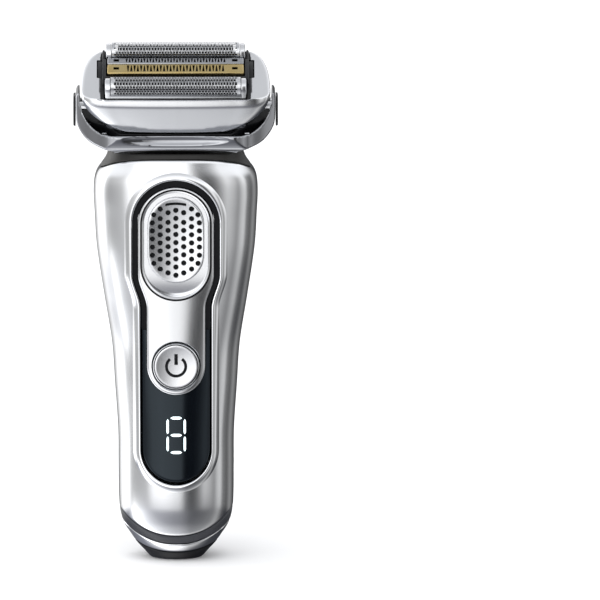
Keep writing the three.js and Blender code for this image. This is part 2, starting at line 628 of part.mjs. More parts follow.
function makeFoilUnit(name, { d, half }) {
  const { radius, thickness, centreN, endCap } = foil;
  const inner = half - endCap;
  const sheet = prism(archShape(d, centreN, radius, 11.2), 'x', -inner + 0.3, inner - 0.3, 6)
    .subtract(prism(archShape(d, centreN, radius - thickness, 10), 'x', -far, far, 6));
  inHead(`${name}_foil`, sheet, colours.steel, 1, 0.3);

  const capShape = archShape(d, centreN - 0.6, radius + 0.1, 9.2);
  const rails = box(-inner - 0.1, inner + 0.1, d - 3, d + 3, 9.2, 10.9)
    .subtract(box(-far, far, d - 2.2, d + 2.2, 9, 12));
  const frame = join(prism(capShape, 'x', -half, -inner, 6), prism(capShape, 'x', inner, half, 6), rails);
  inHead(`${name}_foil_frame`, frame, colours.silver, 0.9, 0.25);

  const lamellae = 10;
  const pitch = 37 / lamellae;
  let cutter = prism(archShape(d, centreN, 2.2, 9.2), 'x', -18.5, 18.5, 5)
    .intersect(box(-far, far, d - 1.9, d + 1.9, 0, 30));
  for (let i = 1; i < lamellae; i += 1) {
    const x = -18.5 + i * pitch;
    cutter = cutter.subtract(box(x - 1.2, x + 1.2, d - 3, d + 3, 14.8, 30));
  }
  cutter = cutter.subtract(box(-1.3, 1.3, d - 1.3, d + 1.3, 0, 13.4));
  inHead(`${name}_cutter`, cutter, colours.steel, 0.9, 0.35);
}

function makeTrimmer(name, d0, d1, topN, slots, color) {
  const halfLength = 21.9;
  let comb = box(-halfLength, halfLength, d0, d1, 9.2, topN)
    .subtract(box(-halfLength + 1.5, halfLength - 1.5, d0 + 0.7, d1 - 0.7, 0, topN - 0.7));
  const pitch = 32 / slots;
  for (let i = 0; i < slots; i += 1) {
    const x = (i - (slots - 1) / 2) * pitch;
    comb = comb.subtract(box(x - 0.45, x + 0.45, d0 + 0.9, d1 - 0.9, topN - 1, topN + 1));
  }
  inHead(`${name}_trimmer`, comb, color, 1, 0.25);
  let blade = box(-18, 18, d0 + 1, d1 - 1, 13.5, topN - 1);
  for (let i = 1; i < 12; i += 1) {
    blade = blade.subtract(box(-18 + 3 * i - 0.7, -18 + 3 * i + 0.7, d0, d1, topN - 2, topN));
  }
  inHead(`${name}_blade`, blade, colours.steel, 1, 0.3);
}

makeShells();
makeBase();
makeInsert();
makeLockSlider();
makePowerButton();
makeInside();
makeGrip();
makeLongHairTrimmer();
makeYoke();
makeCarrier();
makeMotor();
makeCassette();
makeFoilUnit('front', frontFoil);
makeFoilUnit('rear', rearFoil);
makeTrimmer('gold', -3.8, 0.8, 17.4, 17, colours.gold);
makeTrimmer('silver', 1.2, 4.4, 17.2, 19, colours.steel);

export default shaver;
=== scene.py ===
"""Looks for the foil shaver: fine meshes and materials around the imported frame.

Shapes are drawn in millimetres in one of two local frames and placed in metres at the end:
handle frame: X across, Y backwards from the handle's axis, Z up from the floor;
head frame: X across, Y backwards and Z out through the foils, about the tilt axis.
"""

import json
from math import atan2, copysign, cos, hypot, pi, radians, sin

import bmesh
import bpy
import numpy as np
from mathutils import Matrix, Vector


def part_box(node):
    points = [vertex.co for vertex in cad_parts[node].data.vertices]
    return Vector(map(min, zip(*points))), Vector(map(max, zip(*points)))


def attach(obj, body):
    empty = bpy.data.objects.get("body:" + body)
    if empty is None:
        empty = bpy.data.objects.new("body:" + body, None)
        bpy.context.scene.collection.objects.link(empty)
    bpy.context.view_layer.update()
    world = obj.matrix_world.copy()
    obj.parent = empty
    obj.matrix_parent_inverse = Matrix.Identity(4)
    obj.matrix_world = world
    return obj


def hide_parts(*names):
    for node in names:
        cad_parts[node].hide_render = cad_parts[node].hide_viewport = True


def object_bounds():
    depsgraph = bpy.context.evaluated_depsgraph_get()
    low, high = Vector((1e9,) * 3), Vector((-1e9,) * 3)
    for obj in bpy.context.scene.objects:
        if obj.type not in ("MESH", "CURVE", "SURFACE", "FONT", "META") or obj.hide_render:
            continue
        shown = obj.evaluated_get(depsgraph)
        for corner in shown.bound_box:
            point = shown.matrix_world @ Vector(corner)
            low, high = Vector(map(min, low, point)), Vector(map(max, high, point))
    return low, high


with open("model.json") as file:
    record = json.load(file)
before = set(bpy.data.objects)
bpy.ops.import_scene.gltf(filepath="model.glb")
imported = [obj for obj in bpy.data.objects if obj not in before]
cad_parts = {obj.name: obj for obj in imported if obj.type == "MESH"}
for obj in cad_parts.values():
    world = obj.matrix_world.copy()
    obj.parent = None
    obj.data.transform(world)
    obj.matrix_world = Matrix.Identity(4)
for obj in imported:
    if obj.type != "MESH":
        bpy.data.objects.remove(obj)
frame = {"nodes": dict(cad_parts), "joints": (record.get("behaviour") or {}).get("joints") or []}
cad_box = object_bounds()
scene = bpy.context.scene

# ---------------------------------------------------------------- places taken from the frame

MM = 0.001
HEAD_TILT = radians(30)
handle_low, handle_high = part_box("battery_cell")
handle_axis_y = (handle_low.y + handle_high.y) / 2
pivot = Vector(next(j["pos_m"] for j in frame["joints"] if j["name"] == "head_pivot"))
HANDLE = Matrix.Translation((0, handle_axis_y, 0)) @ Matrix.Scale(MM, 4)
HEAD = Matrix.Translation(pivot) @ Matrix.Rotation(HEAD_TILT, 4, "X") @ Matrix.Scale(MM, 4)
PIVOT_Y = (pivot.y - handle_axis_y) / MM
PIVOT_Z = pivot.z / MM


# ---------------------------------------------------------------- camera, floor and light


def make_camera():
    camera = bpy.data.objects.new("camera", bpy.data.cameras.new("camera"))
    scene.collection.objects.link(camera)
    camera.data.sensor_width = 36
    field = 0.1935  # width of the picture at the object, in metres
    distance = 4.0
    camera.data.lens = camera.data.sensor_width * distance / field
    elevation = radians(10)
    middle = Vector((0, handle_axis_y, cad_box[1][2] / 2))
    camera.location = middle + distance * Vector((0, -cos(elevation), sin(elevation)))
    beside = middle + Vector((0.040, 0, -0.0005))  # the shaver stands left of the picture's middle
    camera.rotation_euler = (beside - camera.location).to_track_quat("-Z", "Y").to_euler()
    scene.camera = camera


def make_floor():
    half = 12.0
    mesh = bpy.data.meshes.new("floor")
    corners = [(-half, -half, 0), (half, -half, 0), (half, half, 0), (-half, half, 0)]
    mesh.from_pydata(corners, [], [(0, 1, 2, 3)])
    floor = bpy.data.objects.new("floor", mesh)
    scene.collection.objects.link(floor)
    floor.visible_glossy = False
    mesh.materials.append(plain_floor())


def plain_floor():
    material, tree, shader = new_material("pale_floor")
    grain = noise(tree, 60, 2)
    link(tree, mix_colour(tree, grain, (0.9, 0.9, 0.905), (0.93, 0.93, 0.93)), shader, "Base Color")
    shader.inputs["Roughness"].default_value = 0.9
    return material


# Brightness of the studio around the object, by compass angle: 0 is in front, + to the right.
STUDIO_RING = [
    (-180, 0.25), (-166, 0.5), (-150, 0.8), (-136, 1.5), (-118, 1.9), (-104, 1.8), (-90, 0.6),
    (-76, 0.42), (-56, 0.5), (-44, 0.6), (-30, 1.4), (-14, 1.6), (-2, 1.4), (3, 1.1), (6, 0.25), (9, 0.08),
    (18, 0.07), (26, 0.2), (40, 0.7), (52, 0.55), (66, 0.3), (78, 0.65), (88, 0.75), (97, 0.22), (116, 0.12),
    (134, 0.32), (150, 0.14), (165, 0.06), (180, 0.12),
]
# Brightness of the ground, from behind the object (0) over the point below it (0.5) to far in front (1).
GROUND_RAMP = [(0.0, (0.05, 0.052, 0.06)), (0.3, (0.08, 0.083, 0.095)), (0.42, (0.2, 0.203, 0.215)),
               (0.5, (0.62, 0.62, 0.62)), (0.56, (0.85, 0.85, 0.85)), (0.67, (0.43, 0.435, 0.445)),
               (0.8, (0.26, 0.262, 0.275)), (0.9, (0.15, 0.152, 0.165)), (1.0, (0.15, 0.152, 0.165))]
# The ground is lit from the left: its share of that brightness from the left (0) to the right (1).
GROUND_SIDES = [(0.0, (1.9, 1.9, 1.9)), (0.35, (1.45, 1.45, 1.45)), (0.47, (1.12, 1.12, 1.12)),
                (0.53, (0.84, 0.84, 0.84)), (0.62, (0.42, 0.42, 0.42)), (1.0, (0.2, 0.2, 0.2))]
# A ramp is meant for values up to 1, so these two tables are divided by a scale and multiplied again.
RING_SCALE = 2.0
SIDES_SCALE = 2
# Where one part of the studio blends into the next, as the height of the direction: -1 down, 1 up.
HORIZON_BLEND = (-0.12, 0.12)
CEILING_BLEND = (0.18, 0.5)
OVERHEAD_BLEND = (0.55, 0.9)
GROUND_BLEND = (-0.24, -0.38)
UPPER_GAIN = 1.4
CEILING_EDGE = (0.6, 0.605, 0.615)
CEILING_MIDDLE = (0.34, 0.345, 0.355)


def make_world():
    """Soft boxes and dark flags round the object, a bright ceiling, and a pale ground."""
    world = bpy.data.worlds.new("studio")
    world.use_nodes = True
    scene.world = world
    tree = world.node_tree
    background = tree.nodes["Background"]
    direction = tree.nodes.new("ShaderNodeTexCoord").outputs["Generated"]
    parts = tree.nodes.new("ShaderNodeSeparateXYZ")
    tree.links.new(direction, parts.inputs[0])
    side, up = parts.outputs["X"], parts.outputs["Z"]
    forward = math_node(tree, "MULTIPLY", parts.outputs["Y"], -1)
    compass = math_node(tree, "ARCTAN2", side, forward)
    turn = map_range(tree, compass, -pi, pi, 0, 1)
    ring = ramp(tree, turn, [((a + 180) / 360, [v / RING_SCALE] * 3) for a, v in STUDIO_RING])
    ring = scale_colour(tree, ring, map_range(tree, up, *HORIZON_BLEND, 1, UPPER_GAIN))
    ceiling = map_range(tree, up, *CEILING_BLEND, 0, 1, "SMOOTHSTEP")
    overhead = map_range(tree, up, *OVERHEAD_BLEND, 0, 1)
    overhead = mix_colour(tree, overhead, CEILING_EDGE, CEILING_MIDDLE)
    above = mix_colour(tree, ceiling, ring, overhead)
    below = ramp(tree, map_range(tree, forward, -1, 1, 0, 1), GROUND_RAMP)
    shares = [(at, [c / SIDES_SCALE for c in share]) for at, share in GROUND_SIDES]
    sides = ramp(tree, map_range(tree, side, -1, 1, 0, 1), shares)
    below = scale_colour(tree, below, math_node(tree, "MULTIPLY", sides, SIDES_SCALE))
    ground = map_range(tree, up, *GROUND_BLEND, 0, 1, "SMOOTHSTEP")
    whole = mix_colour(tree, ground, above, below)
    tree.links.new(whole, background.inputs["Color"])
    background.inputs["Strength"].default_value = RING_SCALE


def make_lights():
    """A wide soft light from above and to the left; the metal reflects only the studio around it."""
    sun = bpy.data.lights.new("overhead", "SUN")
    sun.energy = 1.5
    sun.angle = radians(70)
    lamp = bpy.data.objects.new("overhead", sun)
    lamp.rotation_euler = (radians(14), radians(-16), 0)
    lamp.visible_glossy = False
    scene.collection.objects.link(lamp)


# ---------------------------------------------------------------- shader building blocks


def link(tree, output, node, socket):
    tree.links.new(output, node.inputs[socket])


def set_inputs(node, **values):
    """Sets a node's inputs; an underscore stands for a space in an input's name."""
    for name, value in values.items():
        node.inputs[name.replace("_", " ")].default_value = value


def new_material(name):
    material = bpy.data.materials.new(name)
    material.use_nodes = True
    return material, *inside(material)


def inside(material):
    """A material's node tree and its shader."""
    return material.node_tree, material.node_tree.nodes["Principled BSDF"]


def math_node(tree, operation, first, second):
    node = tree.nodes.new("ShaderNodeMath")
    node.operation = operation
    for socket, value in zip(node.inputs, (first, second)):
        if isinstance(value, (int, float)):
            socket.default_value = value
        else:
            tree.links.new(value, socket)
    return node.outputs[0]


def map_range(tree, value, low, high, to_low, to_high, kind="LINEAR"):
    node = tree.nodes.new("ShaderNodeMapRange")
    node.interpolation_type = kind
    link(tree, value, node, "Value")
    set_inputs(node, From_Min=low, From_Max=high, To_Min=to_low, To_Max=to_high)
    return node.outputs["Result"]


def ramp(tree, value, stops):
    node = tree.nodes.new("ShaderNodeValToRGB")
    elements = node.color_ramp.elements
    elements.remove(elements[1])
    elements[0].position = stops[0][0]
    elements[0].color = (*stops[0][1], 1)
    for position, colour in stops[1:]:
        elements.new(position).color = (*colour, 1)
    link(tree, value, node, "Fac")
    return node.outputs["Color"]


def mix_colour(tree, factor, first, second):
    node = tree.nodes.new("ShaderNodeMix")
    node.data_type = "RGBA"
    link(tree, factor, node, "Factor")
    for name, value in (("A", first), ("B", second)):
        socket = next(s for s in node.inputs if s.name == name and s.type == "RGBA")
        if isinstance(value, tuple):
            socket.default_value = (*value, 1)
        else:
            tree.links.new(value, socket)
    return next(s for s in node.outputs if s.type == "RGBA")


def scale_colour(tree, colour, factor):
    node = tree.nodes.new("ShaderNodeVectorMath")
    node.operation = "SCALE"
    link(tree, colour, node, 0)
    link(tree, factor, node, "Scale")
    return node.outputs[0]


def place_coords(tree, stretch=(1, 1, 1)):
    """Object coordinates in metres, stretched for brushed or woven grain."""
    coords = tree.nodes.new("ShaderNodeTexCoord")
    mapping = tree.nodes.new("ShaderNodeMapping")
    mapping.inputs["Scale"].default_value = stretch
    tree.links.new(coords.outputs["Object"], mapping.inputs["Vector"])
    return mapping.outputs["Vector"]


def noise(tree, scale, detail, stretch=(1, 1, 1)):
    node = tree.nodes.new("ShaderNodeTexNoise")
    link(tree, place_coords(tree, stretch), node, "Vector")
    set_inputs(node, Scale=scale, Detail=detail)
    return node.outputs["Fac"]


def cells(tree, scale):
    node = tree.nodes.new("ShaderNodeTexVoronoi")
    link(tree, place_coords(tree), node, "Vector")
    node.inputs["Scale"].default_value = scale
    return node.outputs["Distance"]


def bump(tree, shader, height, depth_mm, strength=1.0):
    node = tree.nodes.new("ShaderNodeBump")
    set_inputs(node, Strength=strength, Distance=depth_mm * MM)
    link(tree, height, node, "Height")
    if shader.inputs["Normal"].is_linked:
        tree.links.new(shader.inputs["Normal"].links[0].from_socket, node.inputs["Normal"])
    tree.links.new(node.outputs["Normal"], shader.inputs["Normal"])


def shaded(colour, share):
    return tuple(min(1.0, c * share) for c in colour)


def surface(name, colour, metallic, roughness, spread, tone, grain_mm, depth_mm, stretch=(1, 1, 1),
            coat=0.0, drift_mm=12):
    """A finish with a slow drift of tone, a fine grain in its roughness and a shallow grain relief."""
    material, tree, shader = new_material(name)
    drift = noise(tree, 1 / (drift_mm * MM), 3)
    base = mix_colour(tree, drift, shaded(colour, 1 - tone), shaded(colour, 1 + tone))
    link(tree, base, shader, "Base Color")
    grain = noise(tree, 1 / (grain_mm * MM), 4, stretch)
    link(tree, map_range(tree, grain, 0.3, 0.7, roughness - spread, roughness + spread), shader, "Roughness")
    bump(tree, shader, grain, depth_mm)
    shader.inputs["Metallic"].default_value = metallic
    if coat:
        set_inputs(shader, Coat_Weight=coat, Coat_Roughness=0.04)
    return material


# ---------------------------------------------------------------- materials


def with_peel(material, scale, depth_mm):
    """Adds the faint unevenness of a polished coating."""
    tree, shader = inside(material)
    bump(tree, shader, noise(tree, scale, 2), depth_mm)
    return material


def make_silver_lacquer():
    """Polished silver lacquer: fine metal flake under a clear coat, with a faint orange peel."""
    lacquer = surface("silver_lacquer", (0.80, 0.81, 0.83), 1, 0.18, 0.03, 0.02, 0.12, 0.0006, coat=0.25)
    return with_peel(lacquer, 900, 0.0025)


def make_satin_silver():
    """Satin silver: a fine blasted grain."""
    return surface("satin_silver", (0.78, 0.79, 0.81), 1, 0.27, 0.05, 0.03, 0.10, 0.0015)


def make_chrome():
    chrome = surface("polished_chrome", (0.86, 0.87, 0.89), 1, 0.09, 0.03, 0.01, 0.5, 0.0008)
    return with_peel(chrome, 700, 0.0015)


def make_shade_painted_chrome():
    """Chrome of the yoke with its colour darkened as painted shade and painted dark reflection; the same
    polish as the bright chrome.
    """
    return surface("shade_painted_chrome", (0.38, 0.388, 0.41), 1, 0.1, 0.03, 0.02, 0.4, 0.0008)


def make_gold():
    """Gold-coloured hard coating, slightly uneven in hue, ground lengthwise."""
    material = surface("gold_coating", (0.6, 0.44, 0.17), 1, 0.26, 0.06, 0.1, 0.15, 0.002, (0.15, 1, 1))
    tree, shader = inside(material)
    hue = noise(tree, 260, 2)
    tint = mix_colour(tree, hue, (0.52, 0.37, 0.13), (0.56, 0.47, 0.25))
    link(tree, tint, shader, "Base Color")
    return material


def make_glass_black():
    """Deep black gloss lens with the faintest blue, and a cool tint in its reflections."""
    material = surface("display_gloss", (0.002, 0.0028, 0.0045), 0, 0.05, 0.02, 0.25, 0.6, 0.0002)
    shader = inside(material)[1]
    set_inputs(shader, Specular_IOR_Level=0.45, Specular_Tint=(0.72, 0.88, 1.0, 1))
    return material


def make_moulded_black(name="moulded_black", tone=(0.009, 0.0095, 0.011), rough=0.34, gloss=0.3):
    """Moulded plastic with spark-eroded grain."""
    material = surface(name, tone, 0, rough, 0.08, 0.15, 0.25, 0.006)
    tree, shader = inside(material)
    shader.inputs["Specular IOR Level"].default_value = gloss
    bump(tree, shader, cells(tree, 3200), 0.006, 0.5)
    return material


def make_rubber(name, tone, rough, cell_mm):
    """Soft-touch rubber: fine leathery cells, a little sheen."""
    material = surface(name, tone, 0, rough, 0.07, 0.15, 0.4, 0.01)
    tree, shader = inside(material)
    bump(tree, shader, cells(tree, 1 / (cell_mm * MM)), 0.02, 0.6)
    set_inputs(shader, Specular_IOR_Level=0.35, Sheen_Weight=0.08, Sheen_Roughness=0.5)
    return material


def make_ground_steel(name="ground_steel", tone=(0.66, 0.67, 0.69), rough=0.22, stretch=(0.08, 1, 1)):
    return surface(name, tone, 1, rough, 0.07, 0.06, 0.14, 0.0025, stretch)


def make_lit_segment():
    """Cool white light, a little uneven in strength."""
    material, tree, shader = new_material("lit_segment")
    glow = noise(tree, 1500, 2)
    light = mix_colour(tree, glow, (0.72, 0.93, 1.0), (0.92, 0.99, 1.0))
    link(tree, light, shader, "Emission Color")
    link(tree, light, shader, "Base Color")
    set_inputs(shader, Emission_Strength=1.15, Roughness=0.3)
    return material


def make_circuit_board():
    """Green solder mask with copper tracks running along and across."""
    material, tree, shader = new_material("circuit_board")
    tracks = tree.nodes.new("ShaderNodeTexBrick")
    link(tree, place_coords(tree, (900, 900, 900)), tracks, "Vector")
    set_inputs(tracks, Color1=(0.012, 0.10, 0.045, 1), Color2=(0.016, 0.13, 0.06, 1),
               Mortar=(0.10, 0.32, 0.12, 1), Mortar_Size=0.03)
    link(tree, tracks.outputs["Color"], shader, "Base Color")
    bump(tree, shader, tracks.outputs["Fac"], 0.03)
    shader.inputs["Roughness"].default_value = 0.35
    return material


def make_copper_winding():
    """Enamelled copper wire, wound in close turns."""
    material, tree, shader = new_material("copper_winding")
    turns = tree.nodes.new("ShaderNodeTexWave")
    turns.bands_direction = "Z"
    link(tree, place_coords(tree), turns, "Vector")
    set_inputs(turns, Scale=700, Distortion=0.4)
    tone = mix_colour(tree, turns.outputs["Fac"], (0.24, 0.07, 0.02), (0.62, 0.25, 0.09))
    link(tree, tone, shader, "Base Color")
    bump(tree, shader, turns.outputs["Fac"], 0.1)
    set_inputs(shader, Metallic=0.9, Roughness=0.3)
    return material


SILVER = make_silver_lacquer()
SATIN = make_satin_silver()
CHROME = make_chrome()
# the yoke's chrome, darkened: painted shade
SHADE_PAINTED_CHROME = make_shade_painted_chrome()
GOLD = make_gold()
LENS = make_glass_black()
BLACK = make_moulded_black()
DARK_SHELL = make_moulded_black("dark_shell", (0.022, 0.023, 0.027), 0.36, 0.4)
GREY = make_moulded_black("grey_plastic", (0.04, 0.042, 0.049), 0.34, 0.4)
# dark print, also used as painted shade in the ring round the slider's recess
PRINT_AND_SHADE = make_moulded_black("dark_print_and_shade", (0.006, 0.0065, 0.008), 0.45, 0.15)
NECK_RUBBER = make_rubber("neck_rubber", (0.015, 0.0145, 0.013), 0.4, 0.3)
GRIP_RUBBER = make_rubber("grip_rubber", (0.016, 0.016, 0.018), 0.62, 0.45)
STEEL = make_ground_steel()
FOIL = surface("foil_sheet", (0.68, 0.69, 0.71), 1, 0.2, 0.07, 0.4, 0.14, 0.0025, drift_mm=0.9)
CUTTER_STEEL = make_ground_steel("cutter_steel", (0.13, 0.133, 0.14), 0.3, (1, 1, 0.1))
COMB_STEEL = make_ground_steel("comb_steel", (0.42, 0.43, 0.45), 0.24)
BLADE_STEEL = make_ground_steel("blade_steel", (0.07, 0.072, 0.078), 0.4)
IRON = surface("motor_iron", (0.2, 0.2, 0.21), 0.8, 0.5, 0.1, 0.2, 0.3, 0.02)
SLEEVE = surface("battery_sleeve", (0.03, 0.12, 0.32), 0, 0.3, 0.05, 0.15, 0.6, 0.004, (1, 1, 0.2))
BOARD = make_circuit_board()
WINDING = make_copper_winding()
LIT = make_lit_segment()

# ---------------------------------------------------------------- curves


def smooth_curve(points):
    """A smooth function through (t, value) points, as in the part's own source."""
    ts = [p[0] for p in points]
    vs = [p[1] for p in points]
    last = len(points) - 1

    def slope(i):
        before, after = max(i - 1, 0), min(i + 1, last)
        return (vs[after] - vs[before]) / (ts[after] - ts[before])

    def value(t):
        i = 0
        while i < last - 1 and t > ts[i + 1]:
            i += 1
        gap = ts[i + 1] - ts[i]
        s = min(max((t - ts[i]) / gap, 0), 1)
        start, end = slope(i) * gap, slope(i + 1) * gap
        rise = vs[i + 1] - vs[i]
        return vs[i] + start * (s**3 - 2 * s**2 + s) + rise * (3 * s**2 - 2 * s**3) + end * (s**3 - s**2)

    return value


def even(path, count):
    """The same path with count evenly spaced points."""
    path = np.array(path, float)
    run = np.concatenate([[0], np.cumsum(np.linalg.norm(np.diff(path, axis=0), axis=1))])
    marks = np.linspace(0, run[-1], count)
    return [tuple(np.interp(m, run, path[:, k]) for k in range(path.shape[1])) for m in marks]


def smooth_path(points, count):
    """A smooth open path through the points, evenly spaced."""
    run = [0.0]
    for a, b in zip(points, points[1:]):
        run.append(run[-1] + hypot(b[0] - a[0], b[1] - a[1]))
    along_u = smooth_curve([(t, p[0]) for t, p in zip(run, points)])
    along_v = smooth_curve([(t, p[1]) for t, p in zip(run, points)])
    fine = [(along_u(t), along_v(t)) for t in np.linspace(0, run[-1], 8 * count)]
    return even(fine, count)


def arc(centre, radius, start, end, steps):
    angles = np.linspace(radians(start), radians(end), steps)
    return [(centre[0] + radius * cos(a), centre[1] + radius * sin(a)) for a in angles]


def mirrored(right):
    """A closed outline from its right half, which starts and ends on the middle line."""
    return right + [(-u, v) for u, v in reversed(right[1:-1])]


def rounded_rect(x0, x1, y0, y1, radius, steps=6):
    return (arc((x1 - radius, y1 - radius), radius, 0, 90, steps)
            + arc((x0 + radius, y1 - radius), radius, 90, 180, steps)
            + arc((x0 + radius, y0 + radius), radius, 180, 270, steps)
            + arc((x1 - radius, y0 + radius), radius, 270, 360, steps))


# ---------------------------------------------------------------- the handle's form

half_width = smooth_curve([
    (0, 8.6), (2, 10.2), (5, 12.9), (7.8, 14.8), (10.4, 16.5), (13.5, 17.7), (18.2, 18.4), (30, 18.6),
    (42, 18.7), (57.5, 19.7), (70.6, 20.6), (86.4, 23.1), (102, 25.4), (113, 26.1), (121, 26.4),
    (126, 25.6), (131, 22.4), (136, 21.2)])
front_depth = smooth_curve([
    (0, 7.6), (2, 9.2), (5, 11.7), (7.8, 13.4), (10.4, 14.8), (13.5, 15.9), (18.2, 16.6), (30, 17),
    (60, 17.3), (90, 17.7), (112, 18), (124, 17.9), (131, 16.8), (136, 15.4)])
back_depth = smooth_curve([
    (0, 7.6), (2, 9.2), (5, 11.7), (7.8, 13.3), (10.4, 14.4), (13.5, 15.3), (18.2, 15.8), (30, 16),
    (60, 16.5), (90, 17.2), (112, 17.4), (124, 17), (131, 15.8), (136, 14.6)])
squareness = smooth_curve([(0, 2.1), (20, 2.4), (60, 2.5), (100, 2.7), (136, 2.8)])

WALL = 2.0
PARTING_Y = -4.5
PARTING_GAP = 0.15


def edge(centre_z, reach, rise, power):
    return lambda x: centre_z + rise * (abs(x) / reach) ** power


shell_top = edge(132.2, 30, -10, 4)
shell_bottom = edge(8.9, 20, 9.7, 2.2)
band_bottom = edge(5.9, 20, 8.8, 2.2)
ring_bottom = edge(2.8, 20, 7.3, 2.2)


def form_point(z, angle, offset=0.0):
    power = 2 / squareness(z)
    c, s = cos(angle), sin(angle)
    depth = front_depth(z) if s < 0 else back_depth(z)
    x = (half_width(z) + offset) * copysign(abs(c) ** power, c)
    y = (depth + offset) * copysign(abs(s) ** power, s)
    return (x, y, z)


def around(steps):
    """Angles once round the form, from the middle of its front."""
    return [-pi / 2 + 2 * pi * i / steps for i in range(steps)]


def depth_at(depth, x, z, proud):
    power = squareness(z)
    share = min(abs(x) / (half_width(z) + proud), 1)
    return (depth(z) + proud) * (1 - share**power) ** (1 / power)


def front_y(x, z, proud):
    """The front surface of the form at the point (x, z)."""
    return -depth_at(front_depth, x, z, proud)


def back_y(x, z, proud):
    return depth_at(back_depth, x, z, proud)


def edge_height(angle, limit, shift=0.0):
    """Where the form's column at this angle meets an arched edge."""
    low, high = -1.0, 140.0
    for _ in range(30):
        middle = (low + high) / 2
        if middle < limit(form_point(middle, angle)[0]) + shift:
            low = middle
        else:
            high = middle
    return low


# ---------------------------------------------------------------- meshes


def working_object(mesh):
    obj = bpy.data.objects.new("blank", mesh)
    scene.collection.objects.link(obj)
    return obj


def blank(vertices, faces):
    """A working object in millimetres."""
    mesh = bpy.data.meshes.new("blank")
    mesh.from_pydata([tuple(v) for v in vertices], [], faces)
    work = bmesh.new()
    work.from_mesh(mesh)
    bmesh.ops.recalc_face_normals(work, faces=work.faces)
    work.to_mesh(mesh)
    work.free()
    return working_object(mesh)


def ladder(start, size):
    """Faces that close a ring by joining each point to its mirror image across the ring."""
    faces = [(start, start + 1, start + size - 1)]
    for i in range(1, size // 2 - 1):
        faces.append((start + i, start + i + 1, start + size - i - 1, start + size - i))
    middle = start + size // 2
    faces.append((middle - 1, middle, middle + 1))
    return faces


def loft(rings, closed=False):
    """A solid through rings of equally many points; closed joins the last ring to the first."""
    size = len(rings[0])
    vertices = [p for ring in rings for p in ring]
    faces = []
    for r in range(len(rings) if closed else len(rings) - 1):
        a = r * size
        b = ((r + 1) % len(rings)) * size
        for i in range(size):
            j = (i + 1) % size
            faces.append((a + i, a + j, b + j, b + i))
    if not closed:
        faces += ladder(0, size) + ladder((len(rings) - 1) * size, size)
    return blank(vertices, faces)


FAR = 40  # beyond the part on every side: how far prisms that only cut or limit another solid reach


def on_axis(axis, along, u, v):
    """A point at a distance along an axis, with its other two coordinates in rising order."""
    return {"x": (along, u, v), "y": (u, along, v), "z": (u, v, along)}[axis]


def prism(outline, axis, start, end):
    """A closed outline swept along an axis: (y, z) along x, (x, z) along y or (x, y) along z."""
    size = len(outline)
    vertices = [on_axis(axis, t, u, v) for t in (start, end) for u, v in outline]
    faces = [(i, (i + 1) % size, size + (i + 1) % size, size + i) for i in range(size)]
    faces.append(tuple(range(size)))
    faces.append(tuple(range(size, 2 * size)))
    return blank(vertices, faces)


def turned(profile, axis, centre=(0, 0, 0), steps=64):
    """A turned solid from (distance along the axis, radius) points; the ends close on the axis."""
    rings = []
    for along, radius in profile:
        rings.append([on_axis(axis, along, radius * cos(2 * pi * i / steps), radius * sin(2 * pi * i / steps))
                      for i in range(steps)])
    rings = [[tuple(c + o for c, o in zip(p, centre)) for p in ring] for ring in rings]
    return loft(rings)


def rounded_box(x0, x1, y0, y1, z0, z1, radius=0.25, segments=2):
    mesh = bpy.data.meshes.new("blank")
    work = bmesh.new()
    bmesh.ops.create_cube(work, size=1)
    for v in work.verts:
        v.co = Vector((x0 if v.co.x < 0 else x1, y0 if v.co.y < 0 else y1, z0 if v.co.z < 0 else z1))
    bmesh.ops.bevel(work, geom=work.edges[:], offset=radius, segments=segments, affect="EDGES", profile=0.5)
    work.to_mesh(mesh)
    work.free()
    return working_object(mesh)


def apply_modifiers(obj):
    graph = bpy.context.evaluated_depsgraph_get()
    mesh = bpy.data.meshes.new_from_object(obj.evaluated_get(graph))
    obj.modifiers.clear()
    old = obj.data
    obj.data = mesh
    bpy.data.meshes.remove(old)
    return obj


def combine(target, tools, operation="DIFFERENCE"):
    """Cuts, joins or intersects working solids; the tools are used up."""
    for tool in tools:
        modifier = target.modifiers.new("cut", "BOOLEAN")
        modifier.operation = operation
        modifier.solver = "MANIFOLD"
        modifier.object = tool
    apply_modifiers(target)
    for tool in tools:
        bpy.data.objects.remove(tool)
    if not target.data.vertices:
        raise RuntimeError("a cut left nothing")
    return target


def gather(objects):
    """Several working objects as one mesh, without cutting them."""
    work = bmesh.new()
    for obj in objects:
        work.from_mesh(obj.data)
        bpy.data.objects.remove(obj)
    mesh = bpy.data.meshes.new("blank")
    work.to_mesh(mesh)
    work.free()
    return working_object(mesh)


def soften(obj, voxel):
    """Melts the edges of a cut solid: an even fine mesh, then smoothing."""
    remesh = obj.modifiers.new("remesh", "REMESH")
    remesh.mode = "VOXEL"
    remesh.voxel_size = voxel
    ease = obj.modifiers.new("ease", "SMOOTH")
    ease.factor = 0.5
    ease.iterations = 4
    return apply_modifiers(obj)


def shift(obj, y=0.0, z=0.0):
    obj.data.transform(Matrix.Translation((0, y, z)))
    return obj


HANDLE_BODIES = ("handle", "lock", "button", "long_hair_trimmer", "long_hair_blade")


def piece(obj, name, body, material, nodes=(), crease=32):
    """Places a working object in metres, gives it its material and hands it to its body, hiding the CAD nodes
    it replaces.
    """
    obj.name = obj.data.name = name
    obj.data.transform(HANDLE if body in HANDLE_BODIES else HEAD)
    obj.data.shade_smooth()
    obj.data.set_sharp_from_angle(angle=radians(crease))
    obj.data.materials.clear()
    obj.data.materials.append(material)
    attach(obj, body)
    if nodes:
        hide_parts(*nodes)
    return obj


def skin(obj, node, body, material, crease=32):
    """The fine look of one CAD node, which it replaces."""
    return piece(obj, node + "_fine", body, material, [node], crease)


def span(side, near, far):
    """The two x of something from near to far out, on the left (-1) or right (1) side, in rising order."""
    return sorted((side * near, side * far))


# ---------------------------------------------------------------- shells and base

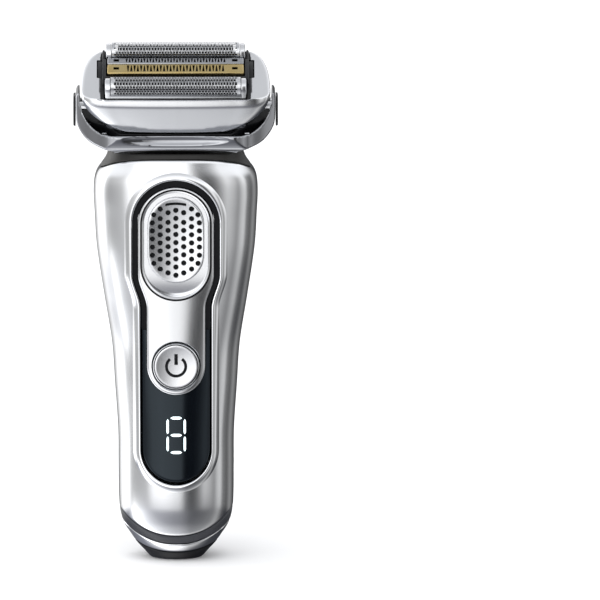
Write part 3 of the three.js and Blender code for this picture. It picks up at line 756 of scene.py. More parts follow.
COLUMNS = 170
ROWS = 150
EDGE_ROUND = [(0.0, -0.62), (0.03, -0.42), (0.12, -0.22), (0.28, -0.08), (0.55, 0.0)]


def section_column(angle, low_edge, high_edge, rows, low_gap=0.0, high_gap=0.0):
    """One upright slice of a shell wall: up the outside, over the edge, down the inside."""
    z0 = edge_height(angle, low_edge, low_gap)
    z1 = edge_height(angle, high_edge, -high_gap)
    first = EDGE_ROUND[-1][0]
    outer = [(z0 + rise, offset) for rise, offset in EDGE_ROUND]
    for k in range(1, rows):
        t = k / rows
        eased = t - 0.12 * sin(4 * pi * t) / (4 * pi) * 2
        outer.append((z0 + first + (z1 - z0 - 2 * first) * eased, 0.0))
    outer += [(z1 - rise, offset) for rise, offset in reversed(EDGE_ROUND)]
    inner = [(z, -WALL) for z, _ in reversed(outer)]
    return [form_point(z, angle, offset) for z, offset in outer + inner]


def shell_side(front):
    """Half of the handle's wall, cut off at the plane where the two shells meet."""
    start, end = (pi + 0.002, 2 * pi - 0.002) if front else (-0.5, pi + 0.5)
    columns = [section_column(a, shell_bottom, shell_top, ROWS) for a in np.linspace(start, end, COLUMNS)]
    if front:
        other_side = rounded_box(-60, 60, PARTING_Y, 60, -20, 160, 0.1, 1)
    else:
        other_side = rounded_box(-60, 60, -60, PARTING_Y + PARTING_GAP, -20, 160, 0.1, 1)
    return combine(loft(columns), [other_side])


KEYHOLE_TOP_Z = 111.7
BEZEL = {"top": 15.6, "low": 12.95, "top_z": KEYHOLE_TOP_Z, "low_z": 37.6}
LENS_SIZE = {"top": 13.9, "low": 11.0, "top_z": KEYHOLE_TOP_Z, "low_z": 38.0}
PLATE = {"top": 12.2, "low": 9.4, "top_z": 111.4, "low_z": 65.3}
TAPER = (84, 95)


def keyhole(size, inset):
    """Closed (x, z) outline, from the lowest point up the right side."""
    top, low = size["top"] - inset, size["low"] - inset
    path = arc((0, size["low_z"]), low, -90, 0, 30)
    for t in np.linspace(0, 1, 24):
        eased = 3 * t**2 - 2 * t**3
        path.append((low + (top - low) * eased, TAPER[0] + (TAPER[1] - TAPER[0]) * t))
    path += arc((0, size["top_z"]), top, 0, 90, 30)
    return mirrored(even(path, 130))


def on_front(outline, proud):
    return [(x, front_y(x, z, proud), z) for x, z in outline]


def make_front_shell():
    shell = shell_side(True)
    pocket = prism(keyhole(BEZEL, 0.35), "y", -FAR, -5)
    combine(shell, [pocket, yoke_room()])
    skin(shell, "front_shell", "handle", SILVER)


GATE = {"half": 12.0, "bottom": 89.0}


def make_rear_shell():
    shell = shell_side(False)
    half = GATE["half"] + 0.3
    gate = prism(rounded_rect(-half, half, GATE["bottom"] - 0.3, 150, 0.8), "y", 5, 40)
    combine(shell, [gate, yoke_room()])
    skin(shell, "rear_shell", "handle", DARK_SHELL)


def make_base():
    angles = around(240)
    band = loft([section_column(a, band_bottom, shell_bottom, 8, 0.1, 0.1) for a in angles], closed=True)
    skin(band, "base_band", "handle", GREY)
    ring = loft([section_column(a, ring_bottom, band_bottom, 8, 0.1, 0.05) for a in angles], closed=True)
    skin(ring, "base_ring", "handle", CHROME)
    make_base_cap(angles)


def make_base_cap(angles):
    """The rounded black foot, with the charging inlet and its two pin holes."""
    tops = [edge_height(a, ring_bottom) for a in angles]
    rings = [[form_point(z, a, offset) for a in angles]
             for z, offset in ((0, -0.8), (0.05, -0.5), (0.16, -0.3), (0.35, -0.15), (0.7, -0.05))]
    for t in np.linspace(0, 1, 14):
        rings.append([form_point(1.3 + (0.93 * top - 1.3) * t, a) for a, top in zip(angles, tops)])
    rings.append([form_point(0.98 * top, a, -0.12) for a, top in zip(angles, tops)])
    rings.append([form_point(top, a, -0.5) for a, top in zip(angles, tops)])
    cap = loft(rings)
    socket = prism(rounded_rect(-6.4, 6.4, -3.6, 3.6, 3.2, 10), "z", -1, 7)
    rim = loft([[(x * s, y * s, z) for x, y in rounded_rect(-6.4, 6.4, -3.6, 3.6, 3.2, 10)]
                for s, z in ((1.12, -0.1), (1.0, 0.5), (0.9, 1.2))])
    cuts = [socket, rim]
    for side in (-1, 1):
        cuts.append(turned([(-1, 1.5), (1.4, 1.5)], "z", (0, side * 5.6, 0), 32))
    combine(cap, cuts)
    skin(cap, "base_cap", "handle", BLACK)


# ---------------------------------------------------------------- front insert


def make_bezel():
    """A raised ring: a soft outer slope, a rounded crest and a steep inner wall."""
    profile = [(0.3, -3.0), (-0.75, -0.5), (-0.95, -0.03), (-0.8, 0.06), (-0.55, 0.2), (-0.25, 0.36),
               (0.1, 0.48), (0.5, 0.57), (0.85, 0.6), (1.15, 0.56), (1.4, 0.42), (1.56, 0.2), (1.64, -0.1),
               (1.68, -0.6), (1.68, -3.0)]
    rings = [on_front(keyhole(BEZEL, inset), proud) for inset, proud in profile]
    skin(loft(rings, closed=True), "bezel_ring", "handle", CHROME)


def make_lens():
    """The display window, lowered to a trench beside the control plate, and the gasket in that trench."""
    profile = [(0.0, -3.0), (0.0, -0.75), (0.05, -0.5), (0.16, -0.32), (0.35, -0.2), (0.6, -0.15)]
    profile += [(inset, -0.15) for inset in np.linspace(1.2, 10.9, 14)]
    rings = [on_front(keyhole(LENS_SIZE, inset), proud) for inset, proud in profile]
    trench = loft([on_front(keyhole(LENS_SIZE, -0.5), proud) for proud in (-1.0, 3)])
    combine(trench, [beside_plate()], "INTERSECT")
    lens = combine(loft(rings), [prism(keyhole(PLATE, -0.12), "y", -FAR, 0), trench])
    skin(lens, "display_window", "handle", LENS)
    gasket = loft([on_front(keyhole(LENS_SIZE, 0.05), proud) for proud in (-1.6, -0.5)])
    combine(gasket, [beside_plate()], "INTERSECT")
    combine(gasket, [prism(keyhole(PLATE, -0.15), "y", -FAR, 0)])
    piece(gasket, "plate_gasket", "handle", PRINT_AND_SHADE)


def beside_plate():
    """The stretch of the insert where the control plate leaves only a narrow ring of it in view."""
    return rounded_box(-30, 30, -40, 0, 77, 140, 0.05, 1)


SLIDER = {"half": 9.1, "top": 120.3, "bottom": 92.5}
RECESS = {"half": 10.25, "top": 121.9, "bottom": 87.9, "floor_y": -16.6}
BUTTON = {"radius": 7.5, "line_radius": 7.0, "z": 65.3, "front_y": -18.6, "dish": 0.35}


def oval(size, grow):
    """Closed (x, z) outline of the slider or its recess, grown by a margin."""
    half = size["half"] + grow
    path = arc((0, size["bottom"] + size["half"]), half, -90, 0, 24)
    path += arc((0, size["top"] - size["half"]), half, 0, 90, 24)
    return mirrored(even(path, 48))


def recess_fall(z):
    """The floor of the recess falls away a little below the slider."""
    return 0.0085 * max(0.0, 97.0 - z) ** 2


def make_control_plate():
    """The plate, cut by the slider's recess and the button's well, and a dark ring round the recess that is
    painted shade along its edge.
    """
    profile = [(0.0, -3.0), (0.0, 0.35), (0.06, 0.6), (0.2, 0.78), (0.42, 0.88), (0.7, 0.9)]
    profile += [(inset, 0.9) for inset in np.linspace(1.3, 9.3, 12)]
    rings = [on_front(keyhole(PLATE, inset), proud) for inset, proud in profile]
    plate = loft(rings)
    steps = [(0.75, 3.0), (0.75, 1.0), (0.62, 0.86), (0.38, 0.72), (0.12, 0.55), (0.0, 0.3)]
    recess = [on_front(oval(RECESS, grow), proud) for grow, proud in steps]
    recess.append([(x, RECESS["floor_y"] + recess_fall(z), z) for x, z in oval(RECESS, 0)])
    radius = BUTTON["radius"] + 0.3
    well = turned([(-30, radius + 0.45), (-17.95, radius + 0.45), (-17.75, radius + 0.2), (-17.4, radius),
                   (-10, radius)], "y", (0, 0, BUTTON["z"]), 96)
    combine(plate, [loft(recess), well])
    skin(plate, "control_plate", "handle", SILVER)
    # a dark ring laid on the plate round the recess: painted shade along the recess's edge
    shade_line = line_along(oval(RECESS, 0.95), 0.93, 0.62, 0.4)
    piece(shade_line, "recess_shade_line", "handle", PRINT_AND_SHADE)


def line_along(outline, proud, width, depth):
    """A thin dark line laid on the front, along a closed outline of (x, z) points."""
    size = len(outline)
    rings = []
    for k in range(4):
        ring = []
        for i, (x, z) in enumerate(outline):
            before, after = outline[i - 1], outline[(i + 1) % size]
            run = Vector((after[0] - before[0], after[1] - before[1])).normalized()
            side = width / 2 * (1 if k in (1, 2) else -1)
            px, pz = x - run.y * side, z + run.x * side
            ring.append((px, front_y(px, pz, proud - (depth if k in (0, 1) else 0)), pz))
        rings.append(ring)
    return loft(rings, closed=True)


# Holes of the slider: how many in the middle column and in each one outwards, where their middles are,
# how far the end holes are moved outwards, and how far they are drawn in towards the middle column.
HOLES = {"pitch_x": 2.5, "pitch_z": 2.63, "radius": 0.78}
HOLE_COLUMNS = [(9, 105.6, 0, 0), (8, 105.6, 0.55, 0), (8, 106.85, 0.55, 0), (7, 106.85, 0, 0.45)]


def hole_centres():
    """Staggered columns of round holes, the same to the left and right of the middle column."""
    centres = []
    for column, (count, middle_z, spread, tuck) in enumerate(HOLE_COLUMNS):
        for i in range(count):
            row = i - (count - 1) / 2
            is_end = i in (0, count - 1)
            z = middle_z + row * HOLES["pitch_z"] + (copysign(spread, row) if is_end else 0)
            x = column * HOLES["pitch_x"] - (tuck if is_end else 0)
            centres.append((x, z))
            if column:
                centres.append((-x, z))
    return centres


def dish(x, z):
    """The thumb rest is hollowed a little towards its middle."""
    middle_z = (SLIDER["top"] + SLIDER["bottom"]) / 2
    reach = hypot(x / 9.1, (z - middle_z) / 14.0)
    return -18.3 + 0.75 * max(0.0, 1 - reach**2)


def make_slider():
    back = -17.0
    rings = [[(x, back, z) for x, z in oval(SLIDER, 0)], [(x, -17.9, z) for x, z in oval(SLIDER, 0)]]
    for inset, lift in ((0.04, 0.2), (0.14, 0.08), (0.3, 0.02), (0.5, 0.0)):
        rings.append([(x, dish(x, z) + lift, z) for x, z in oval(SLIDER, -inset)])
    for inset in np.linspace(1.0, 8.9, 12):
        rings.append([(x, dish(x, z), z) for x, z in oval(SLIDER, -inset)])
    slider = loft(rings)
    holes = []
    radius = HOLES["radius"]
    for x, z in hole_centres():
        y = dish(x, z)
        profile = [(y - 0.2, radius + 0.2), (y + 0.06, radius + 0.06), (y + 0.16, radius), (-16.0, radius)]
        holes.append(turned(profile, "y", (x, 0, z), 20))
    middle_z, half_x, half_z, droop = 118.35, 3.35, 0.43, 0.036
    slot = [(x, middle_z - droop * x**2 + side * half_z) for side in (1, -1)
            for x in np.linspace(side * half_x, -side * half_x, 15)]
    holes.append(prism(slot, "y", -20, -16.5))
    combine(slider, [gather(holes)])
    skin(slider, "lock_slider", "lock", SATIN)
    backing = loft([[(x, y, z) for x, z in oval(SLIDER, -0.3)] for y in (-17.02, -16.8)])
    piece(backing, "slider_backing", "lock", PRINT_AND_SHADE)


def make_button():
    y = BUTTON["front_y"]
    profile = [(-15, 7.35), (y + 0.75, 7.5), (y + 0.4, 7.42), (y + 0.16, 7.2), (y + 0.03, 6.85), (y, 6.5)]
    profile += [(y + BUTTON["dish"] * (1 - (r / 6.5) ** 2), r) for r in np.linspace(6.2, 0.02, 16)]
    button = turned(profile, "y", (0, 0, BUTTON["z"]), 96)
    groove = button_line(0.11, y - 0.4, y + 0.28)
    combine(button, [groove])
    skin(button, "power_button", "button", SATIN)
    outline = button_line(0.2, y + 0.1, y + 0.34)
    piece(outline, "button_outline", "button", PRINT_AND_SHADE)
    make_power_symbol(y + BUTTON["dish"] - 0.12)


def button_line(width, y0, y1):
    """A narrow ring near the edge of the button, round its axis."""
    radius, steps = BUTTON["line_radius"], 96
    rings = []
    for r, y in ((radius - width, y0), (radius + width, y0), (radius + width, y1), (radius - width, y1)):
        rings.append([(r * cos(2 * pi * i / steps), y, BUTTON["z"] + r * sin(2 * pi * i / steps))
                      for i in range(steps)])
    return loft(rings, closed=True)


def make_power_symbol(face_y):
    """The generic power symbol: an open ring with a short bar."""
    radius, line, thickness = 3.1, 0.5, 0.12
    front, back = face_y - thickness, face_y + 0.3
    path = arc((0, BUTTON["z"]), radius, 90 + 38, 450 - 38, 48)
    rings = []
    for x, z in path:
        out = Vector((x, z - BUTTON["z"])).normalized() * line
        rings.append([(x - out.x, back, z - out.y), (x + out.x, back, z + out.y),
                      (x + out.x * 0.9, front, z + out.y * 0.9), (x - out.x * 0.9, front, z - out.y * 0.9)])
    curve = loft(rings)
    bar = rounded_box(-0.56, 0.56, front, back, BUTTON["z"] + 0.56, BUTTON["z"] + 4.1, 0.1)
    piece(gather([curve, bar]), "power_symbol", "button", PRINT_AND_SHADE)


def make_digit():
    """Seven lit segments, all on: the generic figure eight of such displays."""
    centre_z, half_x, half_z = 42.6, 2.75, 5.65
    upright = half_z / 2
    segments = [(0, centre_z + k * half_z, True) for k in (-1, 0, 1)]
    segments += [(side * half_x, centre_z + k * upright, False) for side in (-1, 1) for k in (-1, 1)]
    parts = []
    for x, z, level in segments:
        reach = 1.85 if level else 2.45
        half_line = 0.46 if level else 0.36
        tip = 2 * half_line
        outline = [(-reach, 0), (-reach + tip / 2, -0.72 * half_line), (-reach + tip, -half_line),
                   (reach - tip, -half_line), (reach - tip / 2, -0.72 * half_line), (reach, 0),
                   (reach - tip / 2, 0.72 * half_line), (reach - tip, half_line),
                   (-reach + tip, half_line), (-reach + tip / 2, 0.72 * half_line)]
        if not level:
            outline = [(-v, u) for u, v in outline]
        flat = [(x + u, z + v) for u, v in outline]
        rings = [on_front(flat, -0.3), on_front(flat, -0.1)]
        parts.append(loft(rings))
    piece(gather(parts), "display_digit", "handle", LIT)


# ---------------------------------------------------------------- neck and yoke

TROUGH_RADIUS = 15.75
YOKE_SIDE = [(-18.75, 140.4), (-18.5, 138.6), (-18.0, 137.0), (-17.2, 135.7), (-15.9, 134.8),
             (-13, 133.2), (-10.4, 131.2), (-6.5, 129.4), (-2, 128.9), (2.5, 129.4), (6.4, 130.8),
             (10.2, 132.8), (13.6, 134.8), (14.2, 137.5)]
CARRIER = [(18, 14.9), (22.7, 10), (27, 8.2), (29.3, 6.2), (30.4, 5)]


def yoke_side():
    return smooth_path(YOKE_SIDE, 60) + [(14.2, 155), (-18.7, 155)]


def yoke_front(grow):
    lower = smooth_path([(20 + grow, 134.8 - grow), (22.7, 135.7 - grow), (27, 137.4 - grow),
                         (29.6 + grow, 139.6 - grow), (31.6 + grow, 143 - grow), (32 + grow, 147),
                         (32 + grow, 152)], 30)
    upper = smooth_path([(30.8 - grow, 149.4), (28.8 - grow, 144.8 + grow), (25, 141.3 + grow),
                         (21, 140.2 + grow)], 20)
    tip = [(31.6, 153 + grow), (30.9 - grow, 153 + grow)]
    right = [(0, 128 - grow), (18.9 + grow, 128 - grow)] + lower + tip + upper + [(0, 140.2 + grow)]
    return mirrored(right)


def yoke_plan(grow):
    right = smooth_path([(19 + grow, -16.6 - grow), (22.4 + grow, -15.5 - grow), (25 + grow, -13.7 - grow),
                         (28 + grow, -11.7 - grow), (31 + grow, -9.3 - grow), (33 + grow, -7.5 - grow)], 30)
    front = [(0, -16.8 - grow)] + right
    back = [(x, -y if x > 0 else 16.2 + grow) for x, y in reversed(front)]
    return [(x, y + PIVOT_Y) for x, y in mirrored(front + back)]


def carrier_form(grow):
    right = [(x + grow, r + grow) for x, r in CARRIER]
    left = [(-x, r) for x, r in reversed(right)]
    return turned([(left[0][0], 0.02)] + left + right + [(right[-1][0], 0.02)], "x", steps=72)


def carrier_room():
    """The space the tilting carrier sweeps, in the handle's frame."""
    return shift(carrier_form(0.6), y=PIVOT_Y, z=PIVOT_Z)


def tilt_rod(half, radius, steps):
    """A rod along the tilt axis, in the handle's frame."""
    return turned([(-half, radius), (half, radius)], "x", (0, PIVOT_Y, PIVOT_Z), steps)


NECK_TOP = 134.0


def yoke_blank(grow):
    """The yoke's outer form; below the top of the neck it stays inside the neck's wall."""
    block = prism(yoke_front(grow), "y", -FAR, FAR)
    from_above = prism(yoke_plan(grow), "z", 100, 180)
    from_the_side = shift(prism(yoke_side(), "x", -FAR, FAR), z=-grow)
    combine(block, [from_above, from_the_side], "INTERSECT")
    core = loft([[form_point(z, a, grow - 1.8) for a in around(96)]
                 for z in np.linspace(122, NECK_TOP + 1, 12)])
    collar = combine(rounded_box(-40, 40, -40, 40, 115, NECK_TOP + 0.2 - grow, 0.05, 1), [core])
    return combine(block, [collar])


def yoke_room():
    return yoke_blank(0.3)


def scoop():
    """The long lozenge hollow in the front of the yoke."""
    rings = []
    for x in np.linspace(-19.6, 19.6, 49):
        share = max(0.02, 1 - abs(x / 19.6) ** 2.6) ** 0.6
        rings.append([(x, -19.4 + 2.0 * share * cos(a), 138.75 + 2.25 * share * sin(a))
                      for a in np.linspace(0, 2 * pi, 33)[:-1]])
    return loft(rings)


def make_yoke():
    """The chrome fork, hollowed for the tilting carrier, its pins and the front scoop."""
    sweep = carrier_room()
    trough = tilt_rod(23.6, TROUGH_RADIUS, 96)
    middle = rounded_box(-22, 22, -32, 28, 137.4, 165, 0.2)
    room = combine(trough, [middle], "INTERSECT")
    ahead = tilt_rod(24, TROUGH_RADIUS, 96)
    ahead = combine(ahead, [rounded_box(-24.2, 24.2, -32, PIVOT_Y - 10.3, 137.4, 165, 0.2)], "INTERSECT")
    bores = tilt_rod(31.4, 2.1, 40)
    yoke = combine(yoke_blank(0), [sweep, room, ahead, bores, scoop()])
    soften(yoke, 0.34)
    # the yoke gets chrome darkened as painted shade
    skin(yoke, "yoke", "handle", SHADE_PAINTED_CHROME, 60)


def make_arm_covers():
    outline = rounded_rect(PIVOT_Y - 5.5, PIVOT_Y + 5.5, 141.5, 151.5, 3, 8)
    middle = Vector((PIVOT_Y, 146.5))
    for name, side in (("left", -1), ("right", 1)):
        rings = []
        for share, x in ((1.0, 32.15), (1.0, 32.6), (0.97, 32.8), (0.9, 32.88), (0.5, 32.9), (0.1, 32.9)):
            rings.append([(side * x, middle.x + (y - middle.x) * share, middle.y + (z - middle.y) * share)
                          for y, z in outline])
        skin(loft(rings), f"arm_cover_{name}", "handle", BLACK)


def make_neck():
    angles = around(240)
    lows = [edge_height(a, shell_top, 0.25) for a in angles]
    top = NECK_TOP
    rings = []
    for t in np.linspace(0, 1, 16):
        rings.append([form_point(low + (top - 0.5 - low) * t, a, -0.1 if t == 0 else 0.0)
                      for a, low in zip(angles, lows)])
    for z, offset in ((top - 0.15, -0.15), (top, -0.6)):
        rings.append([form_point(z, a, offset) for a in angles])
    gate = rounded_box(-GATE["half"] - 0.8, GATE["half"] + 0.8, 13.9, 40, 100, 150, 0.5)
    neck = combine(loft(rings), [yoke_room(), carrier_room(), gate])
    skin(neck, "neck_seal", "handle", NECK_RUBBER)


# ---------------------------------------------------------------- back of the handle


def make_grip():
    """A soft pad with a fine field of raised beads, smooth along its border."""
    x_steps, z_steps = 140, 330
    half, low, high, corner = 12.5, 22.0, 84.0, 8.0
    pitch = 1.7
    outer, inner = [], []
    for j in range(z_steps + 1):
        z = low + (high - low) * j / z_steps
        cap = max(0.0, corner - min(z - low, high - z))
        width = half - corner + max(0.0, corner**2 - cap**2) ** 0.5
        row_out, row_in = [], []
        for i in range(x_steps + 1):
            x = width * (2 * i / x_steps - 1)
            room = min(width - abs(x), z - low, high - z)
            rim = min(1.0, max(0.0, room) / 0.7)
            field = min(1.0, max(0.0, room - 1.4) / 0.8)
            bead = max(0.0, sin(pi * (x + z) / pitch) * sin(pi * (x - z) / pitch)) ** 0.7
            proud = 0.35 + 0.3 * (1 - (1 - rim) ** 2) + 0.25 * bead * field
            row_out.append((x, back_y(x, z, proud), z))
            row_in.append((x, back_y(x, z, 0.1), z))
        outer.append(row_out)
        inner.append(row_in)
    rings = [o + list(reversed(n)) for o, n in zip(outer, inner)]
    skin(loft(rings), "rear_grip", "handle", GRIP_RUBBER, 50)


def make_long_hair_trimmer():
    half = GATE["half"]
    housing = rounded_box(-half + 0.3, half - 0.3, 10.8, 13.9, GATE["bottom"], 125.5, 0.3)
    housing = combine(housing, [rounded_box(-half + 3, half - 3, 12.2, 20, 92, 130, 0.3)])
    skin(housing, "trimmer_housing", "handle", BLACK)

    slide = rounded_box(-half, half, 14.3, 17.7, GATE["bottom"], 121, 0.6, 3)
    cuts = [rounded_box(-half - 1, half + 1, 16.4, 20, 112, 125, 0.3)]
    for i in range(5):
        cuts.append(rounded_box(-7, 7, 17.1, 20, 94 + 2.6 * i, 95.3 + 2.6 * i, 0.35, 2))
    skin(combine(slide, cuts), "trimmer_slide", "long_hair_trimmer", BLACK)
    make_trimmer_blades(half)


def make_trimmer_blades(half):
    teeth = 15
    pitch = (2 * half - 3) / teeth
    gaps = [(i - (teeth - 1) / 2) * pitch for i in range(teeth)]
    comb = rounded_box(-half + 0.5, half - 0.5, 16.7, 17.4, 113, 126, 0.15)
    combine(comb, [gather([rounded_box(x - 0.4, x + 0.4, 16, 18, 123.4, 127, 0.15) for x in gaps])])
    skin(comb, "trimmer_comb", "long_hair_trimmer", STEEL)
    blade = rounded_box(-half + 2, half - 2, 15.8, 16.35, 121.4, 125.5, 0.1)
    inner = [x for x in gaps if abs(x) < half - 2.4]
    combine(blade, [gather([rounded_box(x - 0.4, x + 0.4, 15, 18, 123.4, 127, 0.1) for x in inner])])
    skin(blade, "trimmer_blade", "long_hair_blade", STEEL)


# ---------------------------------------------------------------- head: carrier and cassette


def make_carrier():
    """The barrel-shaped carrier that tilts in the yoke, with the bay for the cassette's works."""
    lower = carrier_form(0)
    combine(lower, [rounded_box(-40, 40, -40, 40, -40, 0.9, 0.2)], "INTERSECT")
    combine(lower, [rounded_box(-20, 20, -12.3, 10.3, 0.2, 6, 0.4)], "UNION")
    bay = [rounded_box(-17.5, 17.5, -8, 8, -9.5, 30, 0.3), rounded_box(-17.5, 17.5, -11.2, 9.2, -1, 30, 0.3)]
    for side in (-1, 1):
        bay.append(turned([(end, 2.1) for end in span(side, 27.3, 31.0)], "x", steps=32))
    combine(lower, bay)
    soften(lower, 0.3)
    skin(lower, "head_carrier", "head", BLACK, 60)


# Half width, front and back of the cassette by height n along the head.
CASSETTE_WIDTH = smooth_curve([
    (1.4, 21), (2.9, 23.3), (5, 26), (8.4, 28.8), (11.6, 30.1), (13, 30.3), (14, 29.9)])
CASSETTE_FRONT = smooth_curve([
    (1.4, -15.15), (6, -14.97), (11.2, -14.7), (11.7, -14.58), (12.3, -14.3), (13.0, -13.92), (13.6, -13.58),
    (14, -13.42)])
CASSETTE_BACK = smooth_curve([(1.4, 13.2), (11, 13.2), (12.6, 12.9), (14, 12.3)])
RIM_N = 14.0
OPENING = (23.9, -13.4, 11.1)
# Right half of the cassette seen from above, the point it is measured from, and its extent.
PLAN_RIGHT = [(0, -15.3), (7, -15.27), (13, -15.19), (19, -15.03), (23.4, -14.85), (26.6, -14.3),
              (29.0, -12.9), (30.2, -10.6), (30.25, -5), (29.8, 1), (28.9, 5.5), (27.4, 9.3), (25, 11.8),
              (22, 12.9), (16, 13.2), (0, 13.2)]
PLAN_MIDDLE = -1.0
PLAN_SIZE = {"half": 30.3, "front": -15.3, "back": 13.2}


def polar(outline):
    """The outline as distance from the middle of the head by compass angle."""
    points = np.array(outline)
    angles = np.arctan2(points[:, 0], -(points[:, 1] - PLAN_MIDDLE))
    reach = np.hypot(points[:, 0], points[:, 1] - PLAN_MIDDLE)
    order = np.argsort(angles)
    return lambda a: float(np.interp(a, angles[order], reach[order], period=2 * pi))


def cassette_loops():
    """Pairs of points: one on the cassette's outline, one on its opening in the same direction."""
    plan = mirrored(smooth_path(PLAN_RIGHT, 130))
    half, front, back = OPENING
    outline = rounded_rect(-half, half, front, back, 1.2, 10)
    hole = polar(even(outline + outline[:1], 1200))
    loops = []
    for x, y in plan:
        angle = atan2(x, -(y - PLAN_MIDDLE))
        reach = hole(angle)
        loops.append(((x, y), (reach * sin(angle), PLAN_MIDDLE - reach * cos(angle))))
    return loops


def cassette_ring(loops, n, inner_share=0.0):
    """One ring of the frame at height n, from the outside (share 0) to the opening (share 1)."""
    width, front, back = CASSETTE_WIDTH(n), CASSETTE_FRONT(n), CASSETTE_BACK(n)
    narrow = min(1.0, (width - 0.6) / OPENING[0])
    ring = []
    for (ox, oy), (ix, iy) in loops:
        x0 = ox * width / PLAN_SIZE["half"]
        y0 = oy * (front / PLAN_SIZE["front"] if oy < 0 else back / PLAN_SIZE["back"])
        x1 = ix * narrow
        ring.append((x0 + (x1 - x0) * inner_share, y0 + (iy - y0) * inner_share, n))
    return ring


def make_cassette():
    """The silver frame: up the outside, over the rim and down the inside of the opening."""
    loops = cassette_loops()
    rings = [cassette_ring(loops, n, share) for n, share in ((1.4, 0.55), (1.42, 0.2), (1.5, 0.06))]
    rings += [cassette_ring(loops, n) for n in (1.75, 2.2, 2.9, 3.8, 5, 6.2, 7.4, 8.6, 9.8, 10.8)]
    rings += [cassette_ring(loops, n) for n in (11.2, 11.5, 11.8, 12.1, 12.6, 13.1, 13.5)]
    rim = [(13.75, 0.04), (13.92, 0.16), (RIM_N, 0.4), (RIM_N, 0.8), (RIM_N - 0.06, 0.94),
           (RIM_N - 0.25, 1.0)]
    rings += [cassette_ring(loops, n, share) for n, share in rim]
    rings += [cassette_ring(loops, n, 1.0) for n in (12, 9, 6, 4, 2.6, 1.9)]
    cassette = loft(rings, closed=True)
    pockets = []
    for side in (-1, 1):
        outline = rounded_rect(-4.75, 3.25, 5.75, 10.65, 2.2, 8)
        pockets.append(prism(outline, "x", *span(side, 25.2, FAR)))
        pockets.append(rounded_box(*span(side, 20, LUG["x"] + 0.3), LUG["front"] - 0.3,
                                   LUG["back"] + 0.3, LUG["low"] - 0.3, 20, 0.3))
    combine(cassette, pockets)
    skin(cassette, "cassette_frame", "cassette", SILVER, 40)
    make_release_buttons(loops)
    make_element_holder()
    make_liner()


def make_release_buttons(loops):
    """Dark buttons that follow the cassette's ends."""
    for name, side in (("left", -1), ("right", 1)):
        wall = loft([[(x * 1.012, y, z) for x, y, z in cassette_ring(loops, n)]
                     for n in np.linspace(4.5, 12.5, 20)])
        button = prism(rounded_rect(-4.5, 3, 6, 10.4, 2, 10), "x", *span(side, 26.3, FAR))
        combine(button, [wall], "INTERSECT")
        body = "release_l" if side < 0 else "release_r"
        skin(button, f"release_button_{name}", body, BLACK)


LUG = {"x": 25.0, "front": -1.9, "back": 6.6, "low": 11.2}


def make_element_holder():
    """The black crossbar that carries the trimmers, with posts, ears and a lug at each end."""
    holder = rounded_box(-23.5, 23.5, -6.1, -4.3, 8, 16.6, 0.3)
    for side in (-1, 1):
        post = rounded_box(*span(side, 22.2, 23.5), -6.1, 4.4, 8, 16.6, 0.3)
        ear = rounded_box(*span(side, 22.65, 23.5), 4.0, 10.7, 8, 15.4, 0.5, 3)
        lug = rounded_box(*span(side, 22.7, LUG["x"]), LUG["front"], LUG["back"], LUG["low"], 13.9, 0.3)
        combine(holder, [post, ear, lug], "UNION")
    skin(holder, "element_holder", "cassette", BLACK)


def make_liner():
    """The thin black lining of the cassette's opening."""
    half, front, back = OPENING
    liner = prism(rounded_rect(-half + 0.04, half - 0.04, front + 0.04, back - 0.04, 1.2, 8), "z", 7.5, 14.1)
    cuts = [prism(rounded_rect(-half + 0.9, half - 0.9, front + 0.13, back - 0.28, 0.8, 8), "z", 5, 20),
            rounded_box(-30, 30, LUG["front"] - 0.3, LUG["back"] + 0.3, LUG["low"] - 0.3, 20, 0.1)]
    combine(liner, cuts)
    piece(liner, "cassette_liner", "cassette", BLACK)


# ---------------------------------------------------------------- head: foils, cutters, trimmers

FOIL_RADIUS = 2.9
FOIL_CENTRE_N = 17.0
FOIL_FOOT_N = 11.2
FOIL_CAP = 1.7
FOILS = {"front": (-10.0, 22.6), "rear": (7.7, 22.3)}


def arch_point(d, s):
    """The point at distance s along the arch, measured from its crown, + towards the back."""
    quarter = FOIL_RADIUS * pi / 2
    if abs(s) <= quarter:
        angle = s / FOIL_RADIUS
        return d + FOIL_RADIUS * sin(angle), FOIL_CENTRE_N + FOIL_RADIUS * cos(angle)
    return d + copysign(FOIL_RADIUS, s), FOIL_CENTRE_N - (abs(s) - quarter)


def foil_rows():
    """Heights of the rows of holes along the arch: long slots at the crown, fine holes on the flanks."""
    reach = FOIL_RADIUS * pi / 2 + FOIL_CENTRE_N - FOIL_FOOT_N
    marks = [0.0]
    while marks[-1] < reach - 1.9:
        marks.append(marks[-1] + (1.25 if marks[-1] < 2.4 else 0.82))
    return [-m for m in reversed(marks[1:])] + marks


class Sheet:
    """Faces on an arched sheet, given by x and the distance along the arch, sharing their vertices."""

    def __init__(self, d):
        self.d = d
        self.vertices, self.faces, self.index = [], [], {}

    def vertex(self, x, s):
        key = (round(x, 4), round(s, 4))
        if key not in self.index:
            self.index[key] = len(self.vertices)
            self.vertices.append((x, *arch_point(self.d, s)))
        return self.index[key]

    def face(self, *corners):
        self.faces.append(tuple(self.vertex(x, s) for x, s in corners))


# Width of two columns of cells, how far every other corner is lifted, and the open share of each cell.
CELL = {"pitch": 0.92, "lift": 0.13, "open_x": 0.84, "open_s": 0.87}


def column_x(k, columns):
    return (k - columns / 2) * CELL["pitch"] / 2


def cell_corner(marks, columns, j, k):
    lift = CELL["lift"] if (j + k) % 2 else -CELL["lift"]
    if j in (0, len(marks) - 1) or k in (0, columns):
        lift = 0.0
    return column_x(k, columns), marks[j] + lift


